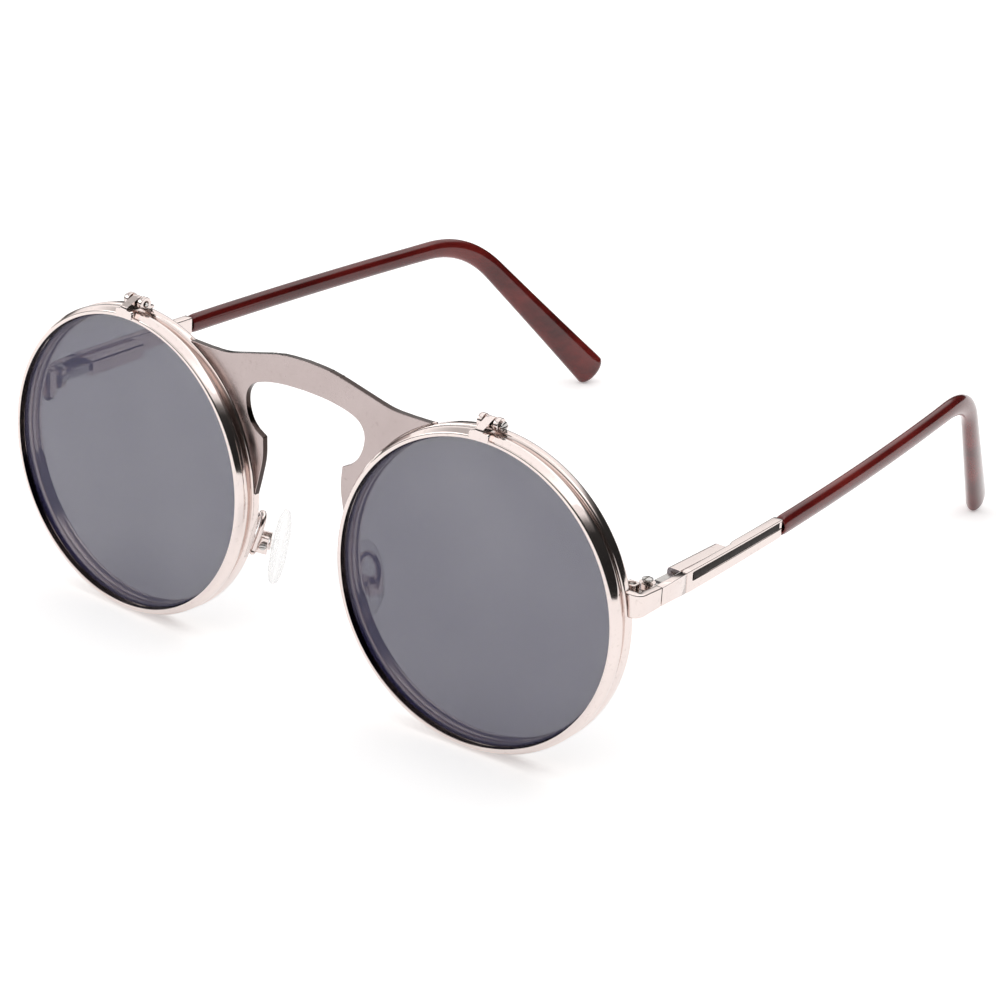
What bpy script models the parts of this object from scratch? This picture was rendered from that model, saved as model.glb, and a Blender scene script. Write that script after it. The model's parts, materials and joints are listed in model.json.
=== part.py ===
"""Round metal flip-up sunglasses: two dark flip-up lenses hinged on a full frame with spring-hinged temples.

Metres, +Z up. X runs across the face, the front faces -Y and the temples run to +Y. The rims and the ends
of the temples stand on z = 0. Shapes are drawn for the wearer's left side, +X, and mirrored for the right.
"""

import math

import bmesh
import bpy
from mathutils import Matrix, Vector

MM = 0.001
X, Y, Z = Vector((1, 0, 0)), Vector((0, 1, 0)), Vector((0, 0, 1))
SIDES = {"left": 1, "right": -1}

# ---------------------------------------------------------------- driving dimensions
LENS_R = 25.0 * MM  # visible radius of every lens
LENS_SPACING = 73.4 * MM  # between the two lens centres
WRAP = math.radians(2.5)  # each eye is turned outwards by this
CLEAR = 0.3 * MM  # between neighbouring pieces
THROUGH = 5.0 * MM  # how far a cutting shape reaches past what it cuts
SCREW_END = 0.5 * MM  # how far a pivot screw's end reaches past its hinge

# Rings and lenses. Depth is measured back from the front of the flip ring.
RING_WIDTH = 1.8 * MM
RING_OUTER_R = LENS_R + RING_WIDTH
FLIP_DEPTH = 2.0 * MM
RIM_FRONT = 2.6 * MM
RIM_DEPTH = 2.2 * MM
RIM_MIDDLE = RIM_FRONT + RIM_DEPTH / 2
RING_LIP = 0.3 * MM
RING_SHOULDER = 0.55 * MM
GROOVE_DEPTH = 0.85 * MM
LENS_THICKNESS = 1.2 * MM
LENS_BEVEL = 0.75 * MM
RING_STEPS = 64

# Where the front stands: the flip rings' front plane, and the height of the lens centres.
FRONT_Y = -74.4 * MM
LENS_Z = RING_OUTER_R

# Bridge plate.
BRIDGE_THICKNESS = 1.2 * MM
BRIDGE_DEPTH = 3.15 * MM  # its front face, behind the flip ring's front
BRIDGE_FLAT = 6.0 * MM  # half width of the flat middle
BRIDGE_TIP_ANGLE = math.radians(115)
BRIDGE_WING_ANGLE = math.radians(176)

# Flip hinge, at the top of each rim.
FLIP_AXIS = Vector((0, 2.3, 28.1)) * MM
FLIP_PIN_R = 0.35 * MM
FLIP_HOLE_R = 0.57 * MM
YOKE_R = 1.2 * MM
YOKE_HALF = 1.95 * MM
YOKE_SLOT_HALF = 1.05 * MM
YOKE_WEB = 0.6 * MM
YOKE_BACK = 4.3 * MM
YOKE_SADDLE_TOP = 27.6 * MM
YOKE_LEAD = 0.2 * MM  # how far its foot stands in front of the rim
KNUCKLE_R = 1.05 * MM
KNUCKLE_HALF = 0.75 * MM
FOOT_HALF = 1.8 * MM
FOOT_THICKNESS = 0.65 * MM
FOOT_LOW = 26.0 * MM
ARM_TOP = 28.1 * MM  # of the knuckle's arm, where it turns down to the foot
ARM_BEVEL = 0.5 * MM
FLIP_HEAD_R = 0.8 * MM
FLIP_HEAD_HEIGHT = 0.45 * MM

# Endpiece and temple hinge.
TEMPLE_AXIS = Vector((62.05, 10.5, 5.5)) * MM
STRAP_THICKNESS = 1.3 * MM
STRAP_X = 64.35 * MM
BARREL_R = 1.3 * MM
BARREL_HOLE_R = 0.64 * MM
EAR_INNER = 0.75 * MM  # from the middle of the hinge to the near face of an ear
EAR_OUTER = 1.6 * MM
HINGE_PIN_R = 0.4 * MM
HINGE_HEAD_R = 0.9 * MM
HINGE_HEAD_HEIGHT = 0.5 * MM
TONGUE_GAP = 0.25 * MM  # between the temple's knuckle and each ear
SLOT_HALF = 0.14 * MM  # half width of a screw's slot

# Rim lock: a closing block and its screw.
LOCK_LOW = Vector((60.3, 6.4, 3.2)) * MM
LOCK_HIGH = Vector((62.4, 8.3, 7.8)) * MM
LOCK_MIDDLE = (LOCK_LOW + LOCK_HIGH) / 2
LOCK_HEAD_R = 0.9 * MM
LOCK_HEAD_HEIGHT = 0.6 * MM

# Spring box and what slides in it.
BOX_FRONT = 17.6 * MM
BOX_BACK = 30.6 * MM
BOX_HALF_X = 1.25 * MM
BOX_HALF_Z = 1.6 * MM
BORE_R = 0.92 * MM
BORE_FRONT = 19.3 * MM
MOUTH_R = 0.5 * MM
FIT = 0.19 * MM  # between the pieces inside the bore
ROD_R = 0.28 * MM
ROD_END = 28.0 * MM
BLOCK_FRONT = 13.6 * MM
BLOCK_BACK = 17.2 * MM
BLOCK_HALF = 0.75 * MM
TONGUE_HALF = 0.65 * MM
SPRING_R = 0.6 * MM
SPRING_WIRE_R = 0.11 * MM
SPRING_FRONT = 19.7 * MM
SPRING_BACK = 26.5 * MM
SPRING_TURNS = 7
NUT_FRONT = 26.9 * MM
NUT_BACK = 27.8 * MM

# Temple. The corner is where its two straight runs would meet.
TEMPLE_START = Vector((64.4, 10.5, 5.5)) * MM
TEMPLE_CORNER = Vector((56.5, 117.6, 7.4)) * MM
TEMPLE_END = Vector((45.3, 147.5, -24.1)) * MM
TEMPLE_CURVE = 1.9  # power of its inward curve
BEND_REACH = 10.0 * MM
CORE_HALF = 0.55 * MM
TIP_BORE_R = 1.05 * MM

# Nose pads and their arms.
PAD_CENTRE = Vector((9.2, 8.3, -9.0)) * MM
PAD_SPLAY = math.radians(25)
PAD_TILT = math.radians(8)
PAD_HALF_LENGTH = 6.8 * MM
PAD_HALF_WIDTH = 3.5 * MM
PAD_ARM_R = 0.5 * MM
PAD_PIVOT_DEPTH = 2.4 * MM  # from the middle of the pad to the screw it rocks on
PAD_HOLE_R = 0.5 * MM
PAD_BOX_HALF = 1.4 * MM
PAD_SCREW_R = 0.25 * MM
PAD_SCREW_LENGTH = 3.2 * MM
PAD_HEAD_R = 0.6 * MM
PAD_HEAD_HEIGHT = 0.4 * MM

# ---------------------------------------------------------------- materials
METAL = ("rose_metal", (0.86, 0.79, 0.76, 1), 0.12, 1.0)
STEEL = ("screw_steel", (0.70, 0.69, 0.68, 1), 0.25, 1.0)
DARK_GLASS = ("tinted_lens", (0.23, 0.22, 0.27, 1), 0.05, 0.0)
CLEAR_GLASS = ("clear_lens", (0.90, 0.93, 0.93, 1), 0.05, 0.0)
PLASTIC = ("tip_plastic", (0.22, 0.03, 0.03, 1), 0.2, 0.0)
SILICONE = ("pad_silicone", (0.85, 0.86, 0.84, 1), 0.35, 0.0)


def material(look):
    """The look's Principled material, made the first time it is asked for."""
    name, colour, roughness, metallic = look
    found = bpy.data.materials.get(name)
    if found:
        return found
    made = bpy.data.materials.new(name)
    made.use_nodes = True
    shader = made.node_tree.nodes["Principled BSDF"]
    shader.inputs["Base Color"].default_value = colour
    shader.inputs["Roughness"].default_value = roughness
    shader.inputs["Metallic"].default_value = metallic
    return made


# ---------------------------------------------------------------- shape tools
def loops_to_solid(loops, closed):
    """A solid skinned over equal loops of points: capped at both ends, or joined last to first if closed."""
    shape = bmesh.new()
    rows = [[shape.verts.new(point) for point in loop] for loop in loops]
    pairs = list(zip(rows, rows[1:]))
    if closed:
        pairs.append((rows[-1], rows[0]))
    for one, two in pairs:
        for k in range(len(one)):
            nxt = (k + 1) % len(one)
            shape.faces.new((one[k], one[nxt], two[nxt], two[k]))
    if not closed:
        shape.faces.new(rows[0])
        shape.faces.new(rows[-1])
    bmesh.ops.recalc_face_normals(shape, faces=shape.faces)
    return shape


def across(axis):
    """Two unit vectors square to an axis and to each other."""
    first = Z if abs(axis.dot(Z)) < 0.9 else X
    one = axis.cross(first).normalized()
    return one, axis.cross(one).normalized()


def turned(profile, steps, start=Vector(), axis=Y):
    """A closed outline of (radius, distance along the axis) turned about that axis: a ring."""
    one, two = across(axis)
    loops = []
    for k in range(steps):
        angle = 2 * math.pi * k / steps
        out = one * math.cos(angle) + two * math.sin(angle)
        loops.append([start + out * radius + axis * along for radius, along in profile])
    return loops_to_solid(loops, True)


def turned_solid(profile, steps, start=Vector(), axis=Y):
    """A stack of (radius, distance along the axis) discs about an axis, flat at both ends."""
    one, two = across(axis)
    angles = [2 * math.pi * k / steps for k in range(steps)]
    loops = [
        [start + (one * math.cos(a) + two * math.sin(a)) * radius + axis * along for a in angles]
        for radius, along in profile
    ]
    return loops_to_solid(loops, False)


def prism(outline, low, high, axis):
    """An outline in the plane square to the X, Y or Z axis, extruded from low to high along that axis."""
    place = {
        "X": lambda a, b, h: Vector((h, a, b)),
        "Y": lambda a, b, h: Vector((a, h, b)),
        "Z": lambda a, b, h: Vector((a, b, h)),
    }[axis]
    return loops_to_solid([[place(a, b, h) for a, b in outline] for h in (low, high)], False)


def block(low, high):
    """A box between two corners."""
    outline = [(low[0], low[1]), (high[0], low[1]), (high[0], high[1]), (low[0], high[1])]
    return prism(outline, low[2], high[2], "Z")


def arc(centre, radius, first, last, steps):
    """Points on an arc, both ends included."""
    angles = [first + (last - first) * k / steps for k in range(steps + 1)]
    return [(centre[0] + radius * math.cos(a), centre[1] + radius * math.sin(a)) for a in angles]


def swept(stations):
    """A solid through stations of (centre, side vector, up vector, outline of (side, up) points)."""
    loops = [[centre + side * a + up * b for a, b in outline] for centre, side, up, outline in stations]
    return loops_to_solid(loops, False)


def oval(half_x, half_z, steps):
    """Points round an oval."""
    angles = [2 * math.pi * k / steps for k in range(steps)]
    return [(half_x * math.cos(a), half_z * math.sin(a)) for a in angles]


def tube(points, radius, sides):
    """A round wire along a line of points."""
    stations = []
    section = oval(radius, radius, sides)
    up = across((points[1] - points[0]).normalized())[0]
    for k, point in enumerate(points):
        ahead = (points[min(k + 1, len(points) - 1)] - points[max(k - 1, 0)]).normalized()
        up = (up - ahead * up.dot(ahead)).normalized()
        stations.append((point, ahead.cross(up), up, section))
    return swept(stations)


def spline(points, steps):
    """A Catmull-Rom curve through the points."""
    padded = [points[0] * 2 - points[1]] + points + [points[-1] * 2 - points[-2]]
    result = []
    for a, b, c, d in zip(padded, padded[1:], padded[2:], padded[3:]):
        for k in range(steps):
            t = k / steps
            curve = b * 2 + (c - a) * t + (a * 2 - b * 5 + c * 4 - d) * t**2 + (b * 3 - a - c * 3 + d) * t**3
            result.append(curve / 2)
    return result + [points[-1]]


def boolean(base, tool, operation):
    """Joins or cuts two shapes exactly, and gives the result as a new shape."""
    holders = []
    for shape in (base, tool):
        mesh = bpy.data.meshes.new("boolean")
        shape.to_mesh(mesh)
        shape.free()
        holder = bpy.data.objects.new("boolean", mesh)
        bpy.context.collection.objects.link(holder)
        holders.append(holder)
    modifier = holders[0].modifiers.new("boolean", "BOOLEAN")
    modifier.operation = operation
    modifier.object = holders[1]
    modifier.solver = "EXACT"
    graph = bpy.context.evaluated_depsgraph_get()
    result = bmesh.new()
    result.from_mesh(holders[0].evaluated_get(graph).to_mesh())
    for holder in holders:
        mesh = holder.data
        bpy.data.objects.remove(holder)
        bpy.data.meshes.remove(mesh)
    return result


def joined(base, *others):
    """One shape out of several that run into each other."""
    for other in others:
        base = boolean(base, other, "UNION")
    return base


def cut(base, *tools):
    """A shape with others taken out of it."""
    for tool in tools:
        base = boolean(base, tool, "DIFFERENCE")
    return base


def rod(start, end, radius, sides=12):
    """A plain round bar between two points."""
    along = end - start
    return turned_solid([(radius, 0), (radius, along.length)], sides, start, along.normalized())


def screw(start, axis, length, shaft_r, head_r, head_height):
    """A slotted screw: its head sits at start, and its shaft runs back along the axis."""
    profile = [(shaft_r, -length), (shaft_r, 0), (head_r, 0)]
    profile += [(head_r, head_height * 0.6), (head_r * 0.7, head_height)]
    body = turned_solid(profile, 12, start, axis)
    one, two = across(axis)
    floor = start + axis * head_height * 0.55
    outline = [(-head_r * 1.5, -SLOT_HALF), (head_r * 1.5, -SLOT_HALF), (head_r * 1.5, SLOT_HALF)]
    outline.append((-head_r * 1.5, SLOT_HALF))
    slot = swept([(floor, one, two, outline), (floor + axis * head_height, one, two, outline)])
    return cut(body, slot)


# ---------------------------------------------------------------- rings and lenses
def ring(front, depth):
    """An eyewire: rounded outside, with a V groove inside for the lens."""
    back = front + depth
    return turned(
        [
            (LENS_R, front + RING_LIP),
            (LENS_R + RING_LIP, front),
            (RING_OUTER_R - RING_SHOULDER, front),
            (RING_OUTER_R, front + RING_SHOULDER),
            (RING_OUTER_R, back - RING_SHOULDER),
            (RING_OUTER_R - RING_SHOULDER, back),
            (LENS_R + RING_LIP, back),
            (LENS_R, back - RING_LIP),
            (LENS_R + GROOVE_DEPTH, front + depth / 2),
        ],
        RING_STEPS,
    )


def lens(middle):
    """A flat round lens whose bevelled edge stands in the ring's groove."""
    face_r = LENS_R - CLEAR
    half = LENS_THICKNESS / 2
    profile = [(face_r, middle - half), (face_r + LENS_BEVEL, middle), (face_r, middle + half)]
    return turned_solid(profile, RING_STEPS)


# ---------------------------------------------------------------- bridge
def bridge_half_outline():
    """Half of the plate's outline, from the top middle round to the middle of its underside."""
    rim_x = LENS_SPACING / 2 - RIM_MIDDLE * math.sin(WRAP)
    over = [(0, 27.9), (4.0, 27.7), (7.0, 27.2), (12.0, 25.9), (17.0, 24.65), (21.0, 24.4)]
    rim = arc((rim_x, 0), RING_OUTER_R + CLEAR, BRIDGE_TIP_ANGLE, BRIDGE_WING_ANGLE, 14)
    wing = [(8.9, 5.0), (8.2, 8.8), (8.3, 12.4), (10.0, 13.3), (11.2, 14.5), (12.05, 16.3), (12.35, 18.3)]
    under = [(11.9, 19.9), (10.6, 21.2), (8.0, 22.15), (4.5, 22.75), (0, 22.95)]
    scaled = [[(a * MM, b * MM) for a, b in run] for run in (over, wing + under)]
    return scaled[0] + rim + scaled[1]


def bridge_plate():
    """A flat stamped plate, bent a little at two lines so that its wings lie in the planes of the rims."""
    half = bridge_half_outline()
    outline = half + [(-a, b) for a, b in half[-2:0:-1]]
    front = BRIDGE_DEPTH / math.cos(WRAP) - (LENS_SPACING / 2 - BRIDGE_FLAT) * math.tan(WRAP)
    plate = prism(outline, front, front + BRIDGE_THICKNESS, "Y")
    for line in (-BRIDGE_FLAT, BRIDGE_FLAT):
        parts = plate.verts[:] + plate.edges[:] + plate.faces[:]
        bmesh.ops.bisect_plane(plate, geom=parts, plane_co=X * line, plane_no=X)
    for vert in plate.verts:
        vert.co.y += max(abs(vert.co.x) - BRIDGE_FLAT, 0) * math.tan(WRAP)
    bmesh.ops.triangulate(plate, faces=plate.faces)
    return plate


# ---------------------------------------------------------------- flip hinge
def flip_yoke():
    """Two ears on a saddle that stands on top of the rim."""
    centre = (FLIP_AXIS.y, FLIP_AXIS.z)
    low = RING_OUTER_R + CLEAR
    high = YOKE_SADDLE_TOP
    ear = arc(centre, YOKE_R, math.radians(200), math.radians(-20), 9)
    outline = ear + [(YOKE_BACK, high), (YOKE_BACK, low), (RIM_FRONT - YOKE_LEAD, low)]
    body = prism(outline, -YOKE_HALF, YOKE_HALF, "X")
    web = YOKE_BACK - YOKE_WEB
    slot = block((-YOKE_SLOT_HALF, -THROUGH, low - THROUGH), (YOKE_SLOT_HALF, web, FLIP_AXIS.z + THROUGH))
    hole = rod(FLIP_AXIS - X * THROUGH, FLIP_AXIS + X * THROUGH, FLIP_HOLE_R)
    return cut(body, slot, hole)


def flip_knuckle():
    """Middle barrel of the flip hinge, with an arm over the ring's top and a foot on its front face."""
    centre = (FLIP_AXIS.y, FLIP_AXIS.z)
    front = -CLEAR - FOOT_THICKNESS
    under = RING_OUTER_R + CLEAR
    barrel = arc(centre, KNUCKLE_R, math.radians(-95), math.radians(120), 10)
    arm = [(front + ARM_BEVEL, ARM_TOP), (front, ARM_TOP - ARM_BEVEL), (front, under), (centre[0], under)]
    body = prism(barrel + arm, -KNUCKLE_HALF, KNUCKLE_HALF, "X")
    foot = block((-FOOT_HALF, front, FOOT_LOW), (FOOT_HALF, -CLEAR, under + CLEAR))
    hole = rod(FLIP_AXIS - X * THROUGH, FLIP_AXIS + X * THROUGH, FLIP_HOLE_R)
    return cut(joined(body, foot), hole)


def flip_screw():
    """Pivot screw of the flip hinge, with its head on the outer side."""
    head = FLIP_AXIS + X * (YOKE_HALF + CLEAR)
    return screw(head, X, 2 * YOKE_HALF + SCREW_END, FLIP_PIN_R, FLIP_HEAD_R, FLIP_HEAD_HEIGHT)


# ---------------------------------------------------------------- endpiece
def strap():
    """The bent strap from the rim round the corner to the temple, cut to the rim's round side."""
    path = [(61.0, 4.8, 2.05), (63.1, 4.85, 2.05), (63.95, 5.15, 2.0), (64.35, 5.95, 1.9), (64.35, 7.6, 1.8)]
    path.append((64.35, 10.2, 1.7))
    points = [Vector((a, b, 0)) * MM for a, b, _ in path]
    stations = []
    for k, point in enumerate(points):
        ahead = (points[min(k + 1, len(points) - 1)] - points[max(k - 1, 0)]).normalized()
        side = ahead.cross(Z)
        half, thick = path[k][2] * MM, STRAP_THICKNESS / 2
        outline = [(-thick, -half), (thick, -half), (thick, half), (-thick, half)]
        stations.append((point + Z * TEMPLE_AXIS.z, side, Z, outline))
    return swept(stations)


def hinge_ear(low, high):
    """One knuckle of the temple hinge with its leaf to the strap."""
    a, b = TEMPLE_AXIS.x, TEMPLE_AXIS.y
    seam = b - CLEAR
    round_part = arc((a, b), BARREL_R, math.radians(-12), math.radians(270), 12)
    outline = round_part + [(STRAP_X, b - BARREL_R), (STRAP_X, seam)]
    return prism(outline, TEMPLE_AXIS.z + low, TEMPLE_AXIS.z + high, "Z")


def endpiece():
    """Strap and the front's two hinge knuckles, in one piece."""
    ears = [hinge_ear(EAR_INNER, EAR_OUTER), hinge_ear(-EAR_OUTER, -EAR_INNER)]
    body = joined(strap(), *ears)
    eye = Matrix.Translation(X * LENS_SPACING / 2) @ Matrix.Rotation(WRAP, 4, "Z")
    edge = RING_OUTER_R + CLEAR
    rim_space = turned_solid([(edge, -THROUGH), (edge, RIM_FRONT + RIM_DEPTH + THROUGH)], 96)
    bmesh.ops.transform(rim_space, matrix=eye, verts=rim_space.verts)
    hole = rod(TEMPLE_AXIS - Z * THROUGH, TEMPLE_AXIS + Z * THROUGH, BARREL_HOLE_R)
    return cut(body, rim_space, hole)


def hinge_screw():
    """Pivot screw of the temple hinge, put in from above."""
    head = TEMPLE_AXIS + Z * (EAR_OUTER + CLEAR)
    return screw(head, Z, 2 * EAR_OUTER + SCREW_END, HINGE_PIN_R, HINGE_HEAD_R, HINGE_HEAD_HEIGHT)


def rim_lock():
    """Closing block behind the endpiece that holds the split rim shut."""
    hole = rod(LOCK_MIDDLE - Z * THROUGH, LOCK_MIDDLE + Z * THROUGH, BARREL_HOLE_R)
    return cut(block(LOCK_LOW, LOCK_HIGH), hole)


def rim_lock_screw():
    """The screw that closes the rim, put in from below."""
    head = Vector((LOCK_MIDDLE.x, LOCK_MIDDLE.y, LOCK_LOW.z - CLEAR))
    return screw(head, -Z, LOCK_HIGH.z - LOCK_LOW.z, HINGE_PIN_R, LOCK_HEAD_R, LOCK_HEAD_HEIGHT)


# ---------------------------------------------------------------- nose pads
def pad_axes():
    """The pad's width, length and outward directions: outward points away from the nose."""
    width = Vector((math.sin(PAD_SPLAY), math.cos(PAD_SPLAY), 0))
    length = Vector((-math.sin(PAD_TILT), 0, math.cos(PAD_TILT)))
    outward = width.cross(length).normalized()
    length = outward.cross(width).normalized()
    return width, length, outward


PAD_WIDTH, PAD_LENGTH, PAD_OUTWARD = pad_axes()
PAD_AXIS = PAD_CENTRE + PAD_OUTWARD * PAD_PIVOT_DEPTH


def pad_block(half_width, half_length, near, far):
    """A box in the pad's own directions, from one depth to another, measured from the pad's pivot."""
    outline = [(-half_width, -half_length), (half_width, -half_length), (half_width, half_length)]
    outline.append((-half_width, half_length))
    ends = [PAD_AXIS + PAD_OUTWARD * depth for depth in (near, far)]
    return swept([(end, PAD_WIDTH, PAD_LENGTH, outline) for end in ends])


def pad_hole():
    """The space for the pad's screw."""
    return rod(PAD_AXIS - PAD_WIDTH * THROUGH, PAD_AXIS + PAD_WIDTH * THROUGH, PAD_HOLE_R, 10)


def pad_box():
    """A small cup, open towards the pad, that the pad's tab stands in."""
    shell = pad_block(PAD_BOX_HALF, 1.6 * MM, -0.7 * MM, 1.3 * MM)
    slot = pad_block(0.8 * MM, 2.0 * MM, -2.0 * MM, 0.75 * MM)
    return cut(shell, slot, pad_hole())


def pad_screw():
    """The screw the pad rocks on, with its head towards the front."""
    head = PAD_AXIS - PAD_WIDTH * (PAD_BOX_HALF + CLEAR)
    return screw(head, -PAD_WIDTH, PAD_SCREW_LENGTH, PAD_SCREW_R, PAD_HEAD_R, PAD_HEAD_HEIGHT)


def nose_pad():
    """A soft oval pad with a stiff tab that the pad screw goes through."""
    # Shares of the full size, with their depths in mm.
    stack = [(0.80, -1.1), (0.97, -0.6), (1.0, 0.0), (0.93, 0.55), (0.72, 0.8)]
    stations = []
    for grow, depth in stack:
        outline = oval(PAD_HALF_WIDTH * grow, PAD_HALF_LENGTH * grow, 20)
        stations.append((PAD_CENTRE + PAD_OUTWARD * depth * MM, PAD_WIDTH, PAD_LENGTH, outline))
    tab = pad_block(0.5 * MM, 0.75 * MM, -2.2 * MM, 0.45 * MM)
    return cut(joined(swept(stations), tab), pad_hole())


def pad_arm():
    """Bent wire from the back of the rim, up and over, and down into the pad box."""
    box_back = PAD_AXIS + PAD_OUTWARD * 1.75 * MM
    run = [(11.8, 4.45, -9.8), (11.1, 4.6, -7.5), (10.5, 4.9, -5.3), (10.5, 5.5, -3.6), (11.2, 6.2, -3.0)]
    run += [(12.3, 6.6, -3.8), (13.1, 6.7, -5.6)]
    points = [Vector(point) * MM for point in run]
    points.append(box_back + PAD_OUTWARD * 0.75 * MM + PAD_LENGTH * 1.2 * MM)
    points.append(box_back + PAD_OUTWARD * 0.35 * MM)
    return tube(spline(points, 3), PAD_ARM_R, 8)


# ---------------------------------------------------------------- temple
def temple_point(y):
    """Middle of the temple's long run at a depth: it curves gently inwards."""
    t = max(0.0, (y - TEMPLE_START.y) / (TEMPLE_CORNER.y - TEMPLE_START.y))
    x = TEMPLE_START.x + (TEMPLE_CORNER.x - TEMPLE_START.x) * t**TEMPLE_CURVE
    return Vector((x, y, TEMPLE_START.z + (TEMPLE_CORNER.z - TEMPLE_START.z) * t))


def temple_tail():
    """The bend and the run down to the end, as points on a smooth curve."""
    before = temple_point(TEMPLE_CORNER.y - BEND_REACH)
    out = (TEMPLE_END - TEMPLE_CORNER).normalized()
    after = TEMPLE_CORNER + out * BEND_REACH
    shares = [k / 7 for k in range(8)]
    bend = [before * (1 - t) ** 2 + TEMPLE_CORNER * 2 * t * (1 - t) + after * t**2 for t in shares]
    run = (TEMPLE_END - after).length
    return bend + [after + out * run * share for share in (0.3, 0.6, 0.85, 1.0)]


def along_path(points):
    """Each point with its side and up vectors, the side staying level."""
    frames = []
    for k, point in enumerate(points):
        ahead = (points[min(k + 1, len(points) - 1)] - points[max(k - 1, 0)]).normalized()
        side = ahead.cross(Z).normalized()
        frames.append((point, side, side.cross(ahead).normalized()))
    return frames


def bar_section(inner, outer, half_z, groove):
    """Temple bar's section, with a groove of the given depth in the upper half of its outer face."""
    low, high = -0.06 * half_z, 0.78 * half_z
    ease = 0.12 * half_z
    return [
        (-inner, -half_z),
        (outer, -half_z),
        (outer, low),
        (outer - groove, low + ease),
        (outer - groove, high - ease),
        (outer, high),
        (outer, half_z),
        (-inner, half_z),
    ]


def temple_arm():
    """Metal bar with a groove outside, which thins into the wire core of the plastic tip."""
    bar = [  # depth, inner and outer half thickness, half height and groove depth, all in mm
        (10.5, 0.75, 0.60, 1.65, 0.0),
        (16.9, 0.75, 0.62, 1.80, 0.0),
        (17.2, 0.60, 0.50, 1.72, 0.0),
        (17.5, 0.60, 0.62, 1.85, 0.0),
        (18.6, 0.60, 0.64, 1.85, 0.0),
        (19.2, 0.60, 0.64, 1.85, 0.35),
        (30.9, 0.60, 0.66, 1.75, 0.35),
        (32.0, 0.95, 0.66, 1.74, 0.35),
        (44.4, 0.95, 0.75, 1.62, 0.35),
        (45.1, 0.95, 0.75, 1.60, 0.0),
    ]
    stations = []
    for y, inner, outer, half_z, groove in bar:
        point, side, up = along_path([temple_point(y * MM), temple_point((y + 1) * MM)])[0]
        stations.append((point, side, up, bar_section(inner * MM, outer * MM, half_z * MM, groove * MM)))
    core = [temple_point(y * MM) for y in (45.2, 60.0, 75.0, 90.0)] + temple_tail()[:-2]
    for point, side, up in along_path(core):
        stations.append((point, side, up, bar_section(CORE_HALF, CORE_HALF, CORE_HALF, 0.0)))
    return swept(stations)


def tip_half_sizes(share):
    """Half thickness and half height of the plastic tip, by the share of its length behind it."""
    swell = max(0.0, (share - 0.5) / 0.5)
    return (1.25 + 0.55 * swell) * MM, (1.75 + 1.55 * swell**1.5) * MM


def temple_tip():
    """Plastic sleeve over the temple's core: thicker and flatter towards its rounded end."""
    runs = (45.5, 46.1, 60.0, 75.0, 90.0)  # depths in mm
    points = [temple_point(y * MM) for y in runs] + temple_tail()
    frames = along_path(points)
    travelled = [0.0]
    for one, two in zip(points, points[1:]):
        travelled.append(travelled[-1] + (two - one).length)
    total = travelled[-1]
    outer = []
    for (point, side, up), gone in zip(frames, travelled):
        half_x, half_z = tip_half_sizes(gone / total)
        grow = 0.86 if gone == 0.0 else 1.0
        outer.append((point, side, up, oval(half_x * grow, half_z * grow, 12)))
    point, side, up = frames[-1]
    ahead = up.cross(side).normalized()
    half_x, half_z = tip_half_sizes(1.0)
    for reach, share in ((0.9, 0.86), (1.6, 0.55)):
        outer.append((point + ahead * reach * MM, side, up, oval(half_x * share, half_z * share, 12)))
    frames[0] = (temple_point(44.5 * MM), frames[0][1], frames[0][2])
    bore = [(point, side, up, oval(TIP_BORE_R, TIP_BORE_R, 8)) for point, side, up in frames[:-1]]
    return cut(swept(outer), swept(bore))


# ---------------------------------------------------------------- spring hinge
def spring_box():
    """Housing on the inner side of the arm: a narrow mouth in front and a bore open at the back."""
    a, c = TEMPLE_AXIS.x, TEMPLE_AXIS.z
    shell = block((a - BOX_HALF_X, BOX_FRONT, c - BOX_HALF_Z), (a + BOX_HALF_X, BOX_BACK, c + BOX_HALF_Z))
    mouth = rod(Vector((a, BOX_FRONT - 1 * MM, c)), Vector((a, BORE_FRONT + 1 * MM, c)), MOUTH_R)
    bore = rod(Vector((a, BORE_FRONT, c)), Vector((a, BOX_BACK + 1 * MM, c)), BORE_R, 16)
    return cut(shell, mouth, bore)


def spring_box_plug():
    """Closes the back of the bore."""
    a, c = TEMPLE_AXIS.x, TEMPLE_AXIS.z
    return rod(Vector((a, ROD_END + 2 * CLEAR, c)), Vector((a, BOX_BACK, c)), BORE_R - FIT)


def hinge_slider():
    """The temple's knuckle with its tongue, guide block and rod."""
    a, b, c = TEMPLE_AXIS
    knuckle_half = EAR_INNER - TONGUE_GAP
    round_part = arc((a, b), BARREL_R, math.radians(150), math.radians(390), 14)
    outline = round_part + [(a + TONGUE_HALF, BLOCK_BACK - 1 * MM), (a - TONGUE_HALF, BLOCK_BACK - 1 * MM)]
    knuckle = prism(outline, c - knuckle_half, c + knuckle_half, "Z")
    guide = block((a - BLOCK_HALF, BLOCK_FRONT, c - BLOCK_HALF), (a + BLOCK_HALF, BLOCK_BACK, c + BLOCK_HALF))
    shaft = rod(Vector((a, BLOCK_BACK - 0.5 * MM, c)), Vector((a, ROD_END, c)), ROD_R)
    hole = rod(TEMPLE_AXIS - Z * THROUGH, TEMPLE_AXIS + Z * THROUGH, BARREL_HOLE_R)
    return cut(joined(knuckle, guide, shaft), hole)


def spring_nut():
    """Stop nut near the end of the rod."""
    inner, outer = ROD_R + FIT, BORE_R - FIT
    start = Vector((TEMPLE_AXIS.x, 0, TEMPLE_AXIS.z))
    profile = [(inner, NUT_FRONT), (outer, NUT_FRONT), (outer, NUT_BACK), (inner, NUT_BACK)]
    return turned(profile, 12, start)


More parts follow.
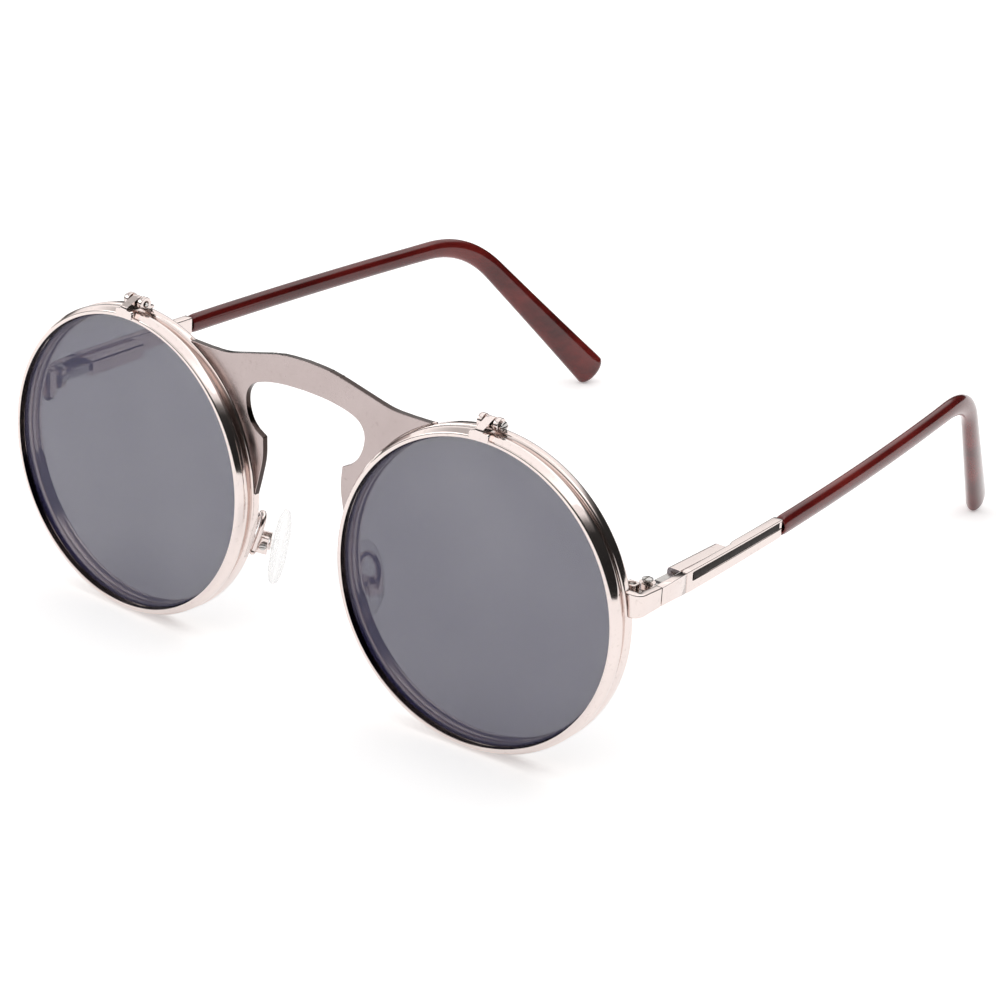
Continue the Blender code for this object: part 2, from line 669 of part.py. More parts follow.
def hinge_spring():
    """Coil spring round the rod."""
    steps = 10
    points = []
    for k in range(SPRING_TURNS * steps + 1):
        angle = 2 * math.pi * k / steps
        y = SPRING_FRONT + (SPRING_BACK - SPRING_FRONT) * k / (SPRING_TURNS * steps)
        out = X * math.cos(angle) + Z * math.sin(angle)
        points.append(Vector((TEMPLE_AXIS.x, y, TEMPLE_AXIS.z)) + out * SPRING_R)
    return tube(points, SPRING_WIRE_R, 5)


# ---------------------------------------------------------------- assembly
def hub(name, parent, place, side, turn=0.0):
    """An empty that pieces hang on. Its place is given for the left side."""
    empty = bpy.data.objects.new(name, None)
    bpy.context.collection.objects.link(empty)
    empty.parent = parent
    empty.location = (place[0] * side, place[1], place[2])
    empty.rotation_euler = (0, 0, turn * side)
    return empty


def add(name, shape, look, side, parent, origin=Vector()):
    """Makes a shape an object under its hub, mirrored for the right side."""
    bmesh.ops.translate(shape, vec=-origin, verts=shape.verts)
    if side < 0:
        bmesh.ops.scale(shape, vec=(-1, 1, 1), verts=shape.verts)
        bmesh.ops.reverse_faces(shape, faces=shape.faces)
    mesh = bpy.data.meshes.new(name)
    shape.to_mesh(mesh)
    shape.free()
    mesh.materials.append(material(look))
    mesh.shade_smooth()
    mesh.set_sharp_from_angle(angle=math.radians(35))
    piece = bpy.data.objects.new(name, mesh)
    bpy.context.collection.objects.link(piece)
    piece.parent = parent
    return piece


def build_side(label, side, front):
    """Everything that exists once on each side."""
    eye = hub(f"{label}_eye", front, X * LENS_SPACING / 2, side, WRAP)
    flip = hub(f"{label}_flip_axis", eye, FLIP_AXIS, side)
    temple = hub(f"{label}_temple_axis", front, TEMPLE_AXIS, side)
    pad = hub(f"{label}_pad_axis", front, PAD_AXIS, side)
    fixed_in_eye = {
        "rim": (ring(RIM_FRONT, RIM_DEPTH), METAL),
        "base_lens": (lens(RIM_MIDDLE), CLEAR_GLASS),
        "flip_yoke": (flip_yoke(), METAL),
        "flip_screw": (flip_screw(), STEEL),
    }
    fixed_in_front = {
        "endpiece": (endpiece(), METAL),
        "rim_lock": (rim_lock(), METAL),
        "rim_lock_screw": (rim_lock_screw(), STEEL),
        "hinge_screw": (hinge_screw(), STEEL),
        "pad_arm": (pad_arm(), METAL),
        "pad_box": (pad_box(), METAL),
        "pad_screw": (pad_screw(), STEEL),
    }
    flipping = {
        "flip_ring": (ring(0.0, FLIP_DEPTH), METAL),
        "flip_lens": (lens(FLIP_DEPTH / 2), DARK_GLASS),
        "flip_knuckle": (flip_knuckle(), METAL),
    }
    folding = {
        "hinge_slider": (hinge_slider(), STEEL),
        "spring_nut": (spring_nut(), STEEL),
        "hinge_spring": (hinge_spring(), STEEL),
        "spring_box": (spring_box(), METAL),
        "spring_box_plug": (spring_box_plug(), METAL),
        "temple_arm": (temple_arm(), METAL),
        "temple_tip": (temple_tip(), PLASTIC),
    }
    groups = (
        (fixed_in_eye, eye, Vector()),
        (fixed_in_front, front, Vector()),
        (flipping, flip, FLIP_AXIS),
        (folding, temple, TEMPLE_AXIS),
        ({"nose_pad": (nose_pad(), SILICONE)}, pad, PAD_AXIS),
    )
    for pieces, parent, origin in groups:
        for name, (shape, look) in pieces.items():
            add(f"{label}_{name}", shape, look, side, parent, origin)


def main():
    for old in list(bpy.data.objects):
        bpy.data.objects.remove(old)
    front = hub("front_frame", None, Vector((0, FRONT_Y, LENS_Z)), 1)
    add("bridge_plate", bridge_plate(), METAL, 1, front)
    for label, side in SIDES.items():
        build_side(label, side, front)


main()
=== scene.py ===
import json
import math

import bmesh
import bpy
from mathutils import Matrix, Vector, noise

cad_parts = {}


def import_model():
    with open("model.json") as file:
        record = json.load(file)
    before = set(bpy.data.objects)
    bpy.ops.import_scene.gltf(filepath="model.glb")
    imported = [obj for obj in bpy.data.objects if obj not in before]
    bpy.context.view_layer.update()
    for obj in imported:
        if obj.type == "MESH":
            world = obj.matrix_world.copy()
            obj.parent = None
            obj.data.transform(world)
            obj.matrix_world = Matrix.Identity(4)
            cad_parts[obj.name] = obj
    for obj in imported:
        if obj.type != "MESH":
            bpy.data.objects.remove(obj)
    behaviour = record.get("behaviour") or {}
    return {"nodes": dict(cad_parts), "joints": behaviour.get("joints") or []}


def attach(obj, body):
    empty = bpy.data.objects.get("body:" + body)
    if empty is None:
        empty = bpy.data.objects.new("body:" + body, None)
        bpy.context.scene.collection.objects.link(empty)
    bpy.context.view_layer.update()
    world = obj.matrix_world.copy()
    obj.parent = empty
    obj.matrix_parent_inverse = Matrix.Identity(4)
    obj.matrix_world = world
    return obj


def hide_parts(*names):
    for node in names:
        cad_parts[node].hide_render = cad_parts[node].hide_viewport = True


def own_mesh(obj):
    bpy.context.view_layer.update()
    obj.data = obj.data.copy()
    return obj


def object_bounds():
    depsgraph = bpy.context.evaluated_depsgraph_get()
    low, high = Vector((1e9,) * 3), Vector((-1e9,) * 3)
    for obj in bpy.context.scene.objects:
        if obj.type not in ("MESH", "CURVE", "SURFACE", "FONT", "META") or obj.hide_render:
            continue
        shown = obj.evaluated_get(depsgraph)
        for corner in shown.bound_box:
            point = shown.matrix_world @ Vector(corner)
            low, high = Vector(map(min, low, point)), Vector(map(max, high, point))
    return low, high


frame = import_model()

cad_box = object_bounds()

MM = 0.001
THROUGH = 5 * MM  # how far a drill reaches past the middle of what it goes through
X, Y, Z = Vector((1, 0, 0)), Vector((0, 1, 0)), Vector((0, 0, 1))
SIDES = {"left": 1, "right": -1}

# ---------------------------------------------------------------- dimensions, as in the CAD
LENS_R = 25.0 * MM
LENS_SPACING = 73.4 * MM
WRAP = math.radians(2.5)
RING_OUTER_R = 26.8 * MM
RIM_FRONT, RIM_DEPTH = 2.6 * MM, 2.2 * MM
RIM_MIDDLE = RIM_FRONT + RIM_DEPTH / 2
GROOVE_DEPTH = 0.85 * MM
CLEAR = 0.3 * MM
BRIDGE_THICKNESS, BRIDGE_DEPTH, BRIDGE_FLAT = 1.2 * MM, 3.15 * MM, 6.0 * MM
FLIP_AXIS = Vector((0, 2.3, 28.1)) * MM
TEMPLE_AXIS = Vector((62.05, 10.5, 5.5)) * MM
TEMPLE_START = Vector((64.4, 10.5, 5.5)) * MM
TEMPLE_CORNER = Vector((56.5, 117.6, 7.4)) * MM
TEMPLE_END = Vector((45.3, 147.5, -24.1)) * MM
TEMPLE_CURVE = 1.9
BEND_REACH = 10.0 * MM
BARREL_R, BARREL_HOLE_R = 1.3 * MM, 0.64 * MM
EAR_INNER, EAR_OUTER = 0.75 * MM, 1.6 * MM
PAD_CENTRE = Vector((9.2, 8.3, -9.0)) * MM
PAD_SPLAY, PAD_TILT = math.radians(25), math.radians(8)
PAD_HALF_LENGTH, PAD_HALF_WIDTH = 6.8 * MM, 3.5 * MM

# The front's own origin: between the lens centres, in the plane of the flip rings' front faces.
joints = {joint["name"]: joint for joint in frame["joints"]}
FRONT = Vector(joints["left_fold"]["pos_m"]) - TEMPLE_AXIS
FRONT.x = 0


# ---------------------------------------------------------------- materials
def colour_ramp(tree, source, stops):
    """A colour ramp with one (place, colour) pair for each stop."""
    node = tree.nodes.new("ShaderNodeValToRGB")
    elements = node.color_ramp.elements
    while len(elements) < len(stops):
        elements.new(0.5)
    for element, (place, colour) in zip(elements, stops):
        element.position = place
        element.color = colour
    tree.links.new(source, node.inputs["Fac"])
    return node.outputs["Color"]


class Nodes:
    """Short hand for building one material's nodes, on the piece's own coordinates in metres."""

    def __init__(self, name):
        self.material = bpy.data.materials.new(name)
        self.material.use_nodes = True
        self.tree = self.material.node_tree
        self.shader = self.tree.nodes["Principled BSDF"]
        self.coords = self.tree.nodes.new("ShaderNodeTexCoord").outputs["Object"]

    def link(self, source, target):
        self.tree.links.new(source, target)

    def set(self, **values):
        """Sets uniform values on the shader's own sockets."""
        for name, value in values.items():
            self.shader.inputs[name.replace("_", " ")].default_value = value

    def feed(self, **sources):
        """Links sockets to the shader's inputs."""
        for name, source in sources.items():
            self.link(source, self.shader.inputs[name.replace("_", " ")])

    def stretched(self, scale):
        node = self.tree.nodes.new("ShaderNodeMapping")
        node.inputs["Scale"].default_value = scale
        self.link(self.coords, node.inputs["Vector"])
        return node.outputs["Vector"]

    def noise(self, scale, detail=4.0, rough=0.55, stretch=(1, 1, 1)):
        node = self.tree.nodes.new("ShaderNodeTexNoise")
        node.inputs["Scale"].default_value = scale
        node.inputs["Detail"].default_value = detail
        node.inputs["Roughness"].default_value = rough
        self.link(self.stretched(stretch), node.inputs["Vector"])
        return node.outputs["Fac"]

    def ramp(self, source, stops):
        return colour_ramp(self.tree, source, stops)

    def grey(self, source, low, high, start=0.3, end=0.7):
        return self.ramp(source, [(start, (low, low, low, 1)), (end, (high, high, high, 1))])

    def mixed(self, factor, one, two, blend="MIX"):
        """A colour mix, where each of the three may be a value or a socket."""
        node = self.tree.nodes.new("ShaderNodeMix")
        node.data_type = "RGBA"
        node.blend_type = blend
        for value, socket in ((factor, node.inputs[0]), (one, node.inputs[6]), (two, node.inputs[7])):
            if isinstance(value, bpy.types.NodeSocket):
                self.link(value, socket)
            else:
                socket.default_value = value
        return node.outputs[2]

    def bump(self, height, distance, strength=1.0, under=None):
        node = self.tree.nodes.new("ShaderNodeBump")
        node.inputs["Distance"].default_value = distance
        node.inputs["Strength"].default_value = strength
        self.link(height, node.inputs["Height"])
        if under:
            self.link(under, node.inputs["Normal"])
        return node.outputs["Normal"]


def metal(name, colour, warm, rough, grain, along=(1, 1, 1)):
    """Polished plating: slight cloudiness, faint handling marks and fine polishing lines."""
    made = Nodes(name)
    made.set(Metallic=1.0, IOR=1.5)
    cloud = made.noise(140, 3)
    dust = made.ramp(made.noise(1500, 6, 0.7), [(0.56, (1, 1, 1, 1)), (0.78, (0.80, 0.77, 0.75, 1))])
    made.feed(Base_Color=made.mixed(1.0, made.mixed(cloud, colour, warm), dust, "MULTIPLY"))
    smears = made.grey(made.noise(420, 5), rough * 0.7, rough * 1.7)
    clouds = made.grey(cloud, rough * 0.7, rough * 1.4)
    made.feed(Roughness=made.mixed(0.5, smears, clouds))
    lines = made.bump(made.noise(2600, 2, 0.5, along), 0.004 * MM, grain)
    made.feed(Normal=made.bump(made.noise(260, 2), 0.03 * MM, 0.10, lines))
    return made.material


def lens_glass(name, clear, deep, alpha_low, alpha_high, rough):
    """Thin lens: see-through by its alpha, with a slight change of tint and faint wiping marks."""
    made = Nodes(name)
    made.set(IOR=1.5, Metallic=0.0)
    made.feed(Base_Color=made.mixed(made.noise(22, 2), clear, deep))
    made.feed(Alpha=made.grey(made.noise(30, 2), alpha_low, alpha_high))
    made.feed(Roughness=made.grey(made.noise(300, 5, 0.6, (1, 1, 0.25)), rough, rough * 1.8))
    made.feed(Normal=made.bump(made.noise(60, 2), 0.02 * MM, 0.012))
    return made.material


def tip_plastic():
    """Dark red-brown acetate with a flow of lighter red along the temple."""
    made = Nodes("tip_acetate")
    made.set(IOR=1.48, Coat_Weight=0.2, Coat_Roughness=0.05, Metallic=0.0)
    made.set(Subsurface_Weight=0.12, Subsurface_Radius=(0.0012, 0.0003, 0.0003))
    dark, middle, light = (0.045, 0.003, 0.003, 1), (0.115, 0.008, 0.007, 1), (0.23, 0.022, 0.017, 1)
    flow = made.noise(160, 5, 0.6, (1, 0.22, 1))
    made.feed(Base_Color=made.ramp(flow, [(0.30, dark), (0.52, middle), (0.80, light)]))
    made.feed(Roughness=made.grey(made.noise(700, 5), 0.07, 0.18))
    made.feed(Normal=made.bump(made.noise(900, 3), 0.01 * MM, 0.25))
    return made.material


def silicone():
    """Clear soft rubber: nearly see-through face on, fuller towards its outline."""
    made = Nodes("pad_silicone_clear")
    made.set(IOR=1.41, Metallic=0.0, Specular_IOR_Level=0.35)
    edge = made.tree.nodes.new("ShaderNodeLayerWeight")
    edge.inputs["Blend"].default_value = 0.35
    cloud = made.noise(300, 3)
    made.feed(Base_Color=made.mixed(cloud, (0.80, 0.81, 0.80, 1), (0.90, 0.89, 0.87, 1)))
    made.feed(Roughness=made.grey(made.noise(900, 5), 0.18, 0.38))
    thin = made.mixed(cloud, (0.05, 0.05, 0.05, 1), (0.09, 0.09, 0.09, 1))
    made.feed(Alpha=made.mixed(edge.outputs["Facing"], thin, (0.42, 0.42, 0.42, 1)))
    made.feed(Normal=made.bump(made.noise(1400, 4), 0.02 * MM, 0.4))
    return made.material


def painted_reflection():
    """Matt black-brown colour for the groove in the temple bar: painted reflection of the dark surroundings
    in its sloped faces.
    """
    made = Nodes("groove_painted_reflection")
    made.set(IOR=1.45, Metallic=0.0, Specular_IOR_Level=0.12)
    made.feed(Base_Color=made.mixed(made.noise(500, 4), (0.006, 0.004, 0.004, 1), (0.026, 0.016, 0.013, 1)))
    made.feed(Roughness=made.grey(made.noise(1200, 5), 0.22, 0.45))
    made.feed(Normal=made.bump(made.noise(2200, 3), 0.01 * MM, 0.4))
    return made.material


ROSE, ROSE_WARM = (0.75, 0.665, 0.64, 1), (0.82, 0.725, 0.69, 1)
SMOKE, SMOKE_DEEP = (0.030, 0.027, 0.084, 1), (0.040, 0.036, 0.100, 1)
METAL = metal("rose_plating", ROSE, ROSE_WARM, 0.085, 0.25)
BAR = metal("rose_plating_bar", ROSE, ROSE_WARM, 0.10, 0.35, (1, 0.08, 1))
# The plate's plating is rougher and brushed, and its colour is darkened as painted shade.
PLATE = metal("rose_plating_plate_painted_shade", (0.42, 0.35, 0.34, 1), (0.54, 0.46, 0.45, 1), 0.20, 0.5, (0.1, 1, 1))
# Dark plating: painted shade on the flip rings' wall in front of the lens; it also darkens the bridge
# plate's cut edges.
DARK_EDGE_AND_PAINTED_SHADE = metal("rose_plating_dark_edge_and_painted_shade", (0.035, 0.024, 0.022, 1), (0.07, 0.05, 0.045, 1), 0.16, 0.8)
SOLDER = metal("rose_solder", (0.60, 0.51, 0.48, 1), (0.70, 0.59, 0.55, 1), 0.16, 0.6)
STEEL = metal("screw_steel_turned", (0.50, 0.49, 0.48, 1), (0.62, 0.60, 0.58, 1), 0.20, 0.6)
DARK_GLASS = lens_glass("lens_tinted", SMOKE, SMOKE_DEEP, 0.585, 0.625, 0.02)
CLEAR_GLASS = lens_glass("lens_clear", (0.70, 0.74, 0.74, 1), (0.80, 0.82, 0.81, 1), 0.03, 0.06, 0.02)
PLASTIC = tip_plastic()
SILICONE = silicone()
# the dark groove colour is a painted reflection
GROOVE_PAINTED_REFLECTION = painted_reflection()


# ---------------------------------------------------------------- shape tools
RING_STEPS, CUTTER_STEPS, ROD_STEPS = 224, 256, 40


def skin(loops, closed=False):
    """A solid skinned over equal loops of points: capped at both ends, or joined last to first."""
    shape = bmesh.new()
    rows = [[shape.verts.new(point) for point in loop] for loop in loops]
    pairs = list(zip(rows, rows[1:]))
    if closed:
        pairs.append((rows[-1], rows[0]))
    for one, two in pairs:
        for k in range(len(one)):
            nxt = (k + 1) % len(one)
            shape.faces.new((one[k], one[nxt], two[nxt], two[k]))
    if not closed:
        shape.faces.new(rows[0])
        shape.faces.new(rows[-1])
    bmesh.ops.recalc_face_normals(shape, faces=shape.faces)
    return shape


def across(axis):
    """Two directions square to an axis and to each other."""
    first = Z if abs(axis.dot(Z)) < 0.9 else X
    one = axis.cross(first).normalized()
    return one, axis.cross(one).normalized()


def turned(profile, steps, start=Vector(), axis=Y, closed=True):
    """A (radius, distance) outline turned about an axis: a ring if closed, or a stack of discs."""
    one, two = across(axis)
    angles = [2 * math.pi * k / steps for k in range(steps)]
    outs = [one * math.cos(a) + two * math.sin(a) for a in angles]
    if closed:
        return skin([[start + out * r + axis * h for r, h in profile] for out in outs], True)
    return skin([[start + out * r + axis * h for out in outs] for r, h in profile])


def prism(outline, low, high, axis):
    """A flat outline drawn out between two heights along X, Y or Z."""
    place = {
        "X": lambda a, b, h: Vector((h, a, b)),
        "Y": lambda a, b, h: Vector((a, h, b)),
        "Z": lambda a, b, h: Vector((a, b, h)),
    }[axis]
    return skin([[place(a, b, h) for a, b in outline] for h in (low, high)])


def block(low, high):
    """A box between two corners, used to cut slots."""
    outline = [(low[0], low[1]), (high[0], low[1]), (high[0], high[1]), (low[0], high[1])]
    return prism(outline, low[2], high[2], "Z")


def arc(centre, radius, first, last, steps):
    """Points of a circle between two angles."""
    angles = [first + (last - first) * k / steps for k in range(steps + 1)]
    return [(centre[0] + radius * math.cos(a), centre[1] + radius * math.sin(a)) for a in angles]


def rounded(outline, radii, steps=4):
    """A closed outline with each corner rounded by a quadratic curve of its own reach."""
    result = []
    count = len(outline)
    for k, here in enumerate(outline):
        here = Vector(here)
        before, after = Vector(outline[k - 1]), Vector(outline[(k + 1) % count])
        reach = radii[k] if isinstance(radii, (list, tuple)) else radii
        one = here + (before - here).normalized() * min(reach, (before - here).length * 0.48)
        two = here + (after - here).normalized() * min(reach, (after - here).length * 0.48)
        for j in range(steps + 1):
            t = j / steps
            result.append(tuple(one * (1 - t) ** 2 + here * 2 * t * (1 - t) + two * t**2))
    return result


def swept(stations):
    """A solid through sections, each given as a centre, two directions and an outline."""
    return skin([[centre + side * a + up * b for a, b in outline] for centre, side, up, outline in stations])


def oval(half_x, half_z, steps):
    """A closed oval outline round the origin."""
    angles = [2 * math.pi * k / steps for k in range(steps)]
    return [(half_x * math.cos(a), half_z * math.sin(a)) for a in angles]


def tube(points, radius, sides=16):
    """A round wire. The radius may be one number or a function of the share of the way along."""
    stations = []
    up = across((points[1] - points[0]).normalized())[0]
    for k, point in enumerate(points):
        ahead = (points[min(k + 1, len(points) - 1)] - points[max(k - 1, 0)]).normalized()
        up = (up - ahead * up.dot(ahead)).normalized()
        size = radius(k / (len(points) - 1)) if callable(radius) else radius
        stations.append((point, ahead.cross(up), up, oval(size, size, sides)))
    return swept(stations)


def spline(points, steps):
    """A Catmull-Rom curve through the points."""
    padded = [points[0] * 2 - points[1]] + points + [points[-1] * 2 - points[-2]]
    result = []
    for a, b, c, d in zip(padded, padded[1:], padded[2:], padded[3:]):
        for k in range(steps):
            t = k / steps
            curve = b * 2 + (c - a) * t + (a * 2 - b * 5 + c * 4 - d) * t**2
            result.append((curve + (b * 3 - a - c * 3 + d) * t**3) / 2)
    return result + [points[-1]]


def rod(start, end, radius):
    """A plain round rod, used to drill holes."""
    along = end - start
    return turned([(radius, 0), (radius, along.length)], ROD_STEPS, start, along.normalized(), False)


def boolean(base, tool, operation):
    """Blender's exact boolean on two shapes. Points closer than the weld distance become one."""
    weld = 0.0004 * MM
    holders = []
    for shape in (base, tool):
        mesh = bpy.data.meshes.new("boolean")
        shape.to_mesh(mesh)
        shape.free()
        holder = bpy.data.objects.new("boolean", mesh)
        bpy.context.scene.collection.objects.link(holder)
        holders.append(holder)
    modifier = holders[0].modifiers.new("boolean", "BOOLEAN")
    modifier.operation = operation
    modifier.object = holders[1]
    modifier.solver = "EXACT"
    graph = bpy.context.evaluated_depsgraph_get()
    result = bmesh.new()
    result.from_mesh(holders[0].evaluated_get(graph).to_mesh())
    for holder in holders:
        mesh = holder.data
        bpy.data.objects.remove(holder)
        bpy.data.meshes.remove(mesh)
    bmesh.ops.remove_doubles(result, verts=result.verts, dist=weld)
    return result


def joined(base, *others):
    """Shapes made one. The shapes handed in are used up, here and in cut."""
    for other in others:
        base = boolean(base, other, "UNION")
    return base


def cut(base, *tools):
    for tool in tools:
        base = boolean(base, tool, "DIFFERENCE")
    return base


def eye_place():
    """From an eye's own frame, with its origin at the flip ring's front, to the front's frame."""
    return Matrix.Translation(X * LENS_SPACING / 2) @ Matrix.Rotation(WRAP, 4, "Z")


def add(
    name, shape, look, side=1, body="front", nodes=(), slot="rose_metal", eye=False, bevel=0.0, crisp=30
):
    """Puts a shape drawn for the left side in its place, mirrored for the right, and hands it to the frame.

    An edge sharper than crisp degrees stays hard, and is rounded if there is a bevel.
    """
    if eye:
        bmesh.ops.transform(shape, matrix=eye_place(), verts=shape.verts)
    bmesh.ops.translate(shape, vec=FRONT, verts=shape.verts)
    if side < 0:
        bmesh.ops.scale(shape, vec=(-1, 1, 1), verts=shape.verts)
        bmesh.ops.reverse_faces(shape, faces=shape.faces)
    mesh = bpy.data.meshes.new(name)
    shape.to_mesh(mesh)
    shape.free()
    mesh.materials.append(look)
    mesh.shade_smooth()
    mesh.set_sharp_from_angle(angle=math.radians(crisp))
    piece = bpy.data.objects.new(name, mesh)
    bpy.context.scene.collection.objects.link(piece)
    if bevel:
        edge = piece.modifiers.new("edge", "BEVEL")
        edge.width = bevel
        edge.segments = 3
        edge.limit_method = "ANGLE"
        edge.angle_limit = math.radians(crisp)
        edge.use_clamp_overlap = True
        even = piece.modifiers.new("even", "WEIGHTED_NORMAL")
        even.keep_sharp = False
    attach(piece, body)
    if nodes:
        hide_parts(*nodes)
    return piece


# ---------------------------------------------------------------- rings and lenses
def rim_ring():
    """The fixed eyewire: flat front, rounded outside, with a V groove for its lens."""
    front, back = RIM_FRONT, RIM_FRONT + RIM_DEPTH
    flat, shoulder = 0.6 * MM, 0.5 * MM
    groove_front, groove_back = front + 0.7 * MM, front + 1.5 * MM
    outline = [(LENS_R, front), (LENS_R + flat, front), (RING_OUTER_R, front + shoulder)]
    outline += [(RING_OUTER_R, back), (LENS_R, back)]
    outline += [(LENS_R, groove_back), (LENS_R + GROOVE_DEPTH, RIM_MIDDLE), (LENS_R, groove_front)]
    radii = [soft * MM for soft in (0.2, 0.3, 0.25, 0.62, 0.3, 0.1, 0.05, 0.1)]
    return turned(rounded(outline, radii, 6), RING_STEPS)


def flip_ring():
    """The dark lens's ring: a narrow front lip, a sloped outer side, and the lens set well back.

    The section gives radius, depth and corner rounding in mm. The wall in front of the lens takes the
    ring's second material, dark plating that paints the shade of the lens seat.
    """
    lip = [(25.45, 0, 0.18), (26.1, 0, 0.28), (26.8, 1.1, 0.4), (26.8, 2.0, 0.5)]
    seat = [(25.0, 2.0, 0.25), (25.0, 1.7, 0.05), (25.8, 1.32, 0.05), (25.45, 1.02, 0.03)]
    outline = [(r * MM, y * MM) for r, y, _ in lip + seat]
    radii = [soft * MM for _, _, soft in lip + seat]
    shape = turned(rounded(outline, radii, 6), RING_STEPS)
    shape.normal_update()
    for face in shape.faces:
        middle = face.calc_center_median()
        outward = Vector((middle.x, 0, middle.z)).normalized()
        # the wall in front of the lens gets the dark plating as painted shade
        painted_shade_wall = face.normal.dot(outward) < -0.6 and middle.y < 1.2 * MM
        face.material_index = 1 if painted_shade_wall else 0
    return shape


def lens(front, back, front_r, edge_r, back_r):
    """A flat round lens: a small polished chamfer each side and an edge that stands in the groove."""
    soft, centre, halfway = 0.1 * MM, 1.0 * MM, 12 * MM
    profile = [(centre, front), (halfway, front), (front_r - soft, front), (front_r, front + soft)]
    profile += [(edge_r, (front + back) / 2), (back_r, back - soft), (back_r - soft, back)]
    profile += [(halfway, back), (centre, back)]
    return turned(profile, RING_STEPS, closed=False)


# ---------------------------------------------------------------- bridge
# Half of the keyhole plate's outline, across and up in mm, as three smooth runs.
PLATE_TOP = [(0, 27.9), (4.0, 27.7), (7.0, 27.2), (12.0, 25.9), (17.0, 24.65), (21.0, 24.4)]
PLATE_WING = [(8.9, 5.0), (8.2, 8.8), (8.3, 12.4)]
PLATE_NOTCH = [(10.0, 13.3), (11.2, 14.5), (12.05, 16.3), (12.35, 18.3), (11.9, 19.9), (10.6, 21.2)]
PLATE_NOTCH += [(8.0, 22.15), (4.5, 22.75), (0, 22.95)]
PLATE_FROM, PLATE_TO = 115, 176  # the degrees round the rim that the plate follows
BEND_LINES = [side * line for side in (-1, 1) for line in (5.0, 5.5, 6.0, 6.5, 7.0)]  # in mm from the middle


def smooth_run(points):
    """A smooth outline through points given in mm."""
    return [(p.x, p.y) for p in spline([Vector((a, b, 0)) * MM for a, b in points], 6)]


def bridge_plate():
    """The stamped plate: flat in the middle, each half turned back to lie along its rim."""
    rim_x = LENS_SPACING / 2 - RIM_MIDDLE * math.sin(WRAP)
    rim_r = RING_OUTER_R + CLEAR * 0.5
    rim = arc((rim_x, 0), rim_r, math.radians(PLATE_FROM), math.radians(PLATE_TO), 40)
    half = smooth_run(PLATE_TOP) + rim + smooth_run(PLATE_WING) + smooth_run(PLATE_NOTCH)
    outline = half + [(-a, b) for a, b in half[-2:0:-1]]
    front = BRIDGE_DEPTH / math.cos(WRAP) - (LENS_SPACING / 2 - BRIDGE_FLAT) * math.tan(WRAP)
    plate = prism(outline, front, front + BRIDGE_THICKNESS, "Y")
    for line in sorted(BEND_LINES):
        parts = plate.verts[:] + plate.edges[:] + plate.faces[:]
        bmesh.ops.bisect_plane(plate, geom=parts, plane_co=X * line * MM, plane_no=X)
    start, span = BRIDGE_FLAT - 1 * MM, 2 * MM
    for vert in plate.verts:
        beyond = max(abs(vert.co.x) - start, 0)
        eased = beyond**2 / (2 * span) if beyond < span else beyond - span / 2
        vert.co.y += eased * math.tan(WRAP)
    return plate


def rim_arc(radius, y, first, last, steps):
    """Points round a rim in its eye's own frame, by angle in degrees from the wearer's outer side."""
    angles = [math.radians(first + (last - first) * k / steps) for k in range(steps + 1)]
    return [Vector((radius * math.cos(a), y, radius * math.sin(a))) for a in angles]


def bead(points, radius, seed):
    """A soldered seam: a wire of slightly uneven thickness that tapers at its ends."""
    taper, thinnest, unevenness, lumps = 0.06, 0.35, 0.14, 23

    def size(share):
        ends = max(min(1.0, share / taper, (1 - share) / taper), 0.0)
        wobble = 1 + unevenness * noise.noise(Vector((share * lumps, seed, 0)))
        return radius * (thinnest + (1 - thinnest) * ends) * wobble

    return tube(points, size, 12)


# ---------------------------------------------------------------- flip hinge
SCREW_END = 0.5 * MM  # how far a hinge screw goes on past the width of its ears
FLIP_HOLE_R, FLIP_PIN_R, FLIP_HEAD_R, FLIP_HEAD_HEIGHT = 0.57 * MM, 0.35 * MM, 0.8 * MM, 0.45 * MM
YOKE_R, YOKE_HALF, YOKE_SLOT_HALF = 1.2 * MM, 1.95 * MM, 1.05 * MM
YOKE_WEB, YOKE_BACK = 0.6 * MM, 4.3 * MM
KNUCKLE_R, KNUCKLE_HALF = 1.05 * MM, 0.75 * MM
FOOT_HALF, FOOT_THICKNESS, FOOT_LOW = 1.8 * MM, 0.65 * MM, 26.0 * MM


def flip_yoke():
    """Bracket on top of the rim with two ears for the pivot screw."""
    centre = (FLIP_AXIS.y, FLIP_AXIS.z)
    low, high = RING_OUTER_R + CLEAR, FLIP_AXIS.z - 0.5 * MM  # the saddle on the rim
    ear = arc(centre, YOKE_R, math.radians(200), math.radians(-20), 36)
    outline = ear + [(YOKE_BACK, high), (YOKE_BACK, low), (RIM_FRONT - 0.2 * MM, low)]
    body = prism(outline, -YOKE_HALF, YOKE_HALF, "X")
    slot = block((-YOKE_SLOT_HALF, -5 * MM, 20 * MM), (YOKE_SLOT_HALF, YOKE_BACK - YOKE_WEB, 40 * MM))
    hole = rod(FLIP_AXIS - X * THROUGH, FLIP_AXIS + X * THROUGH, FLIP_HOLE_R)
    return cut(body, slot, hole)


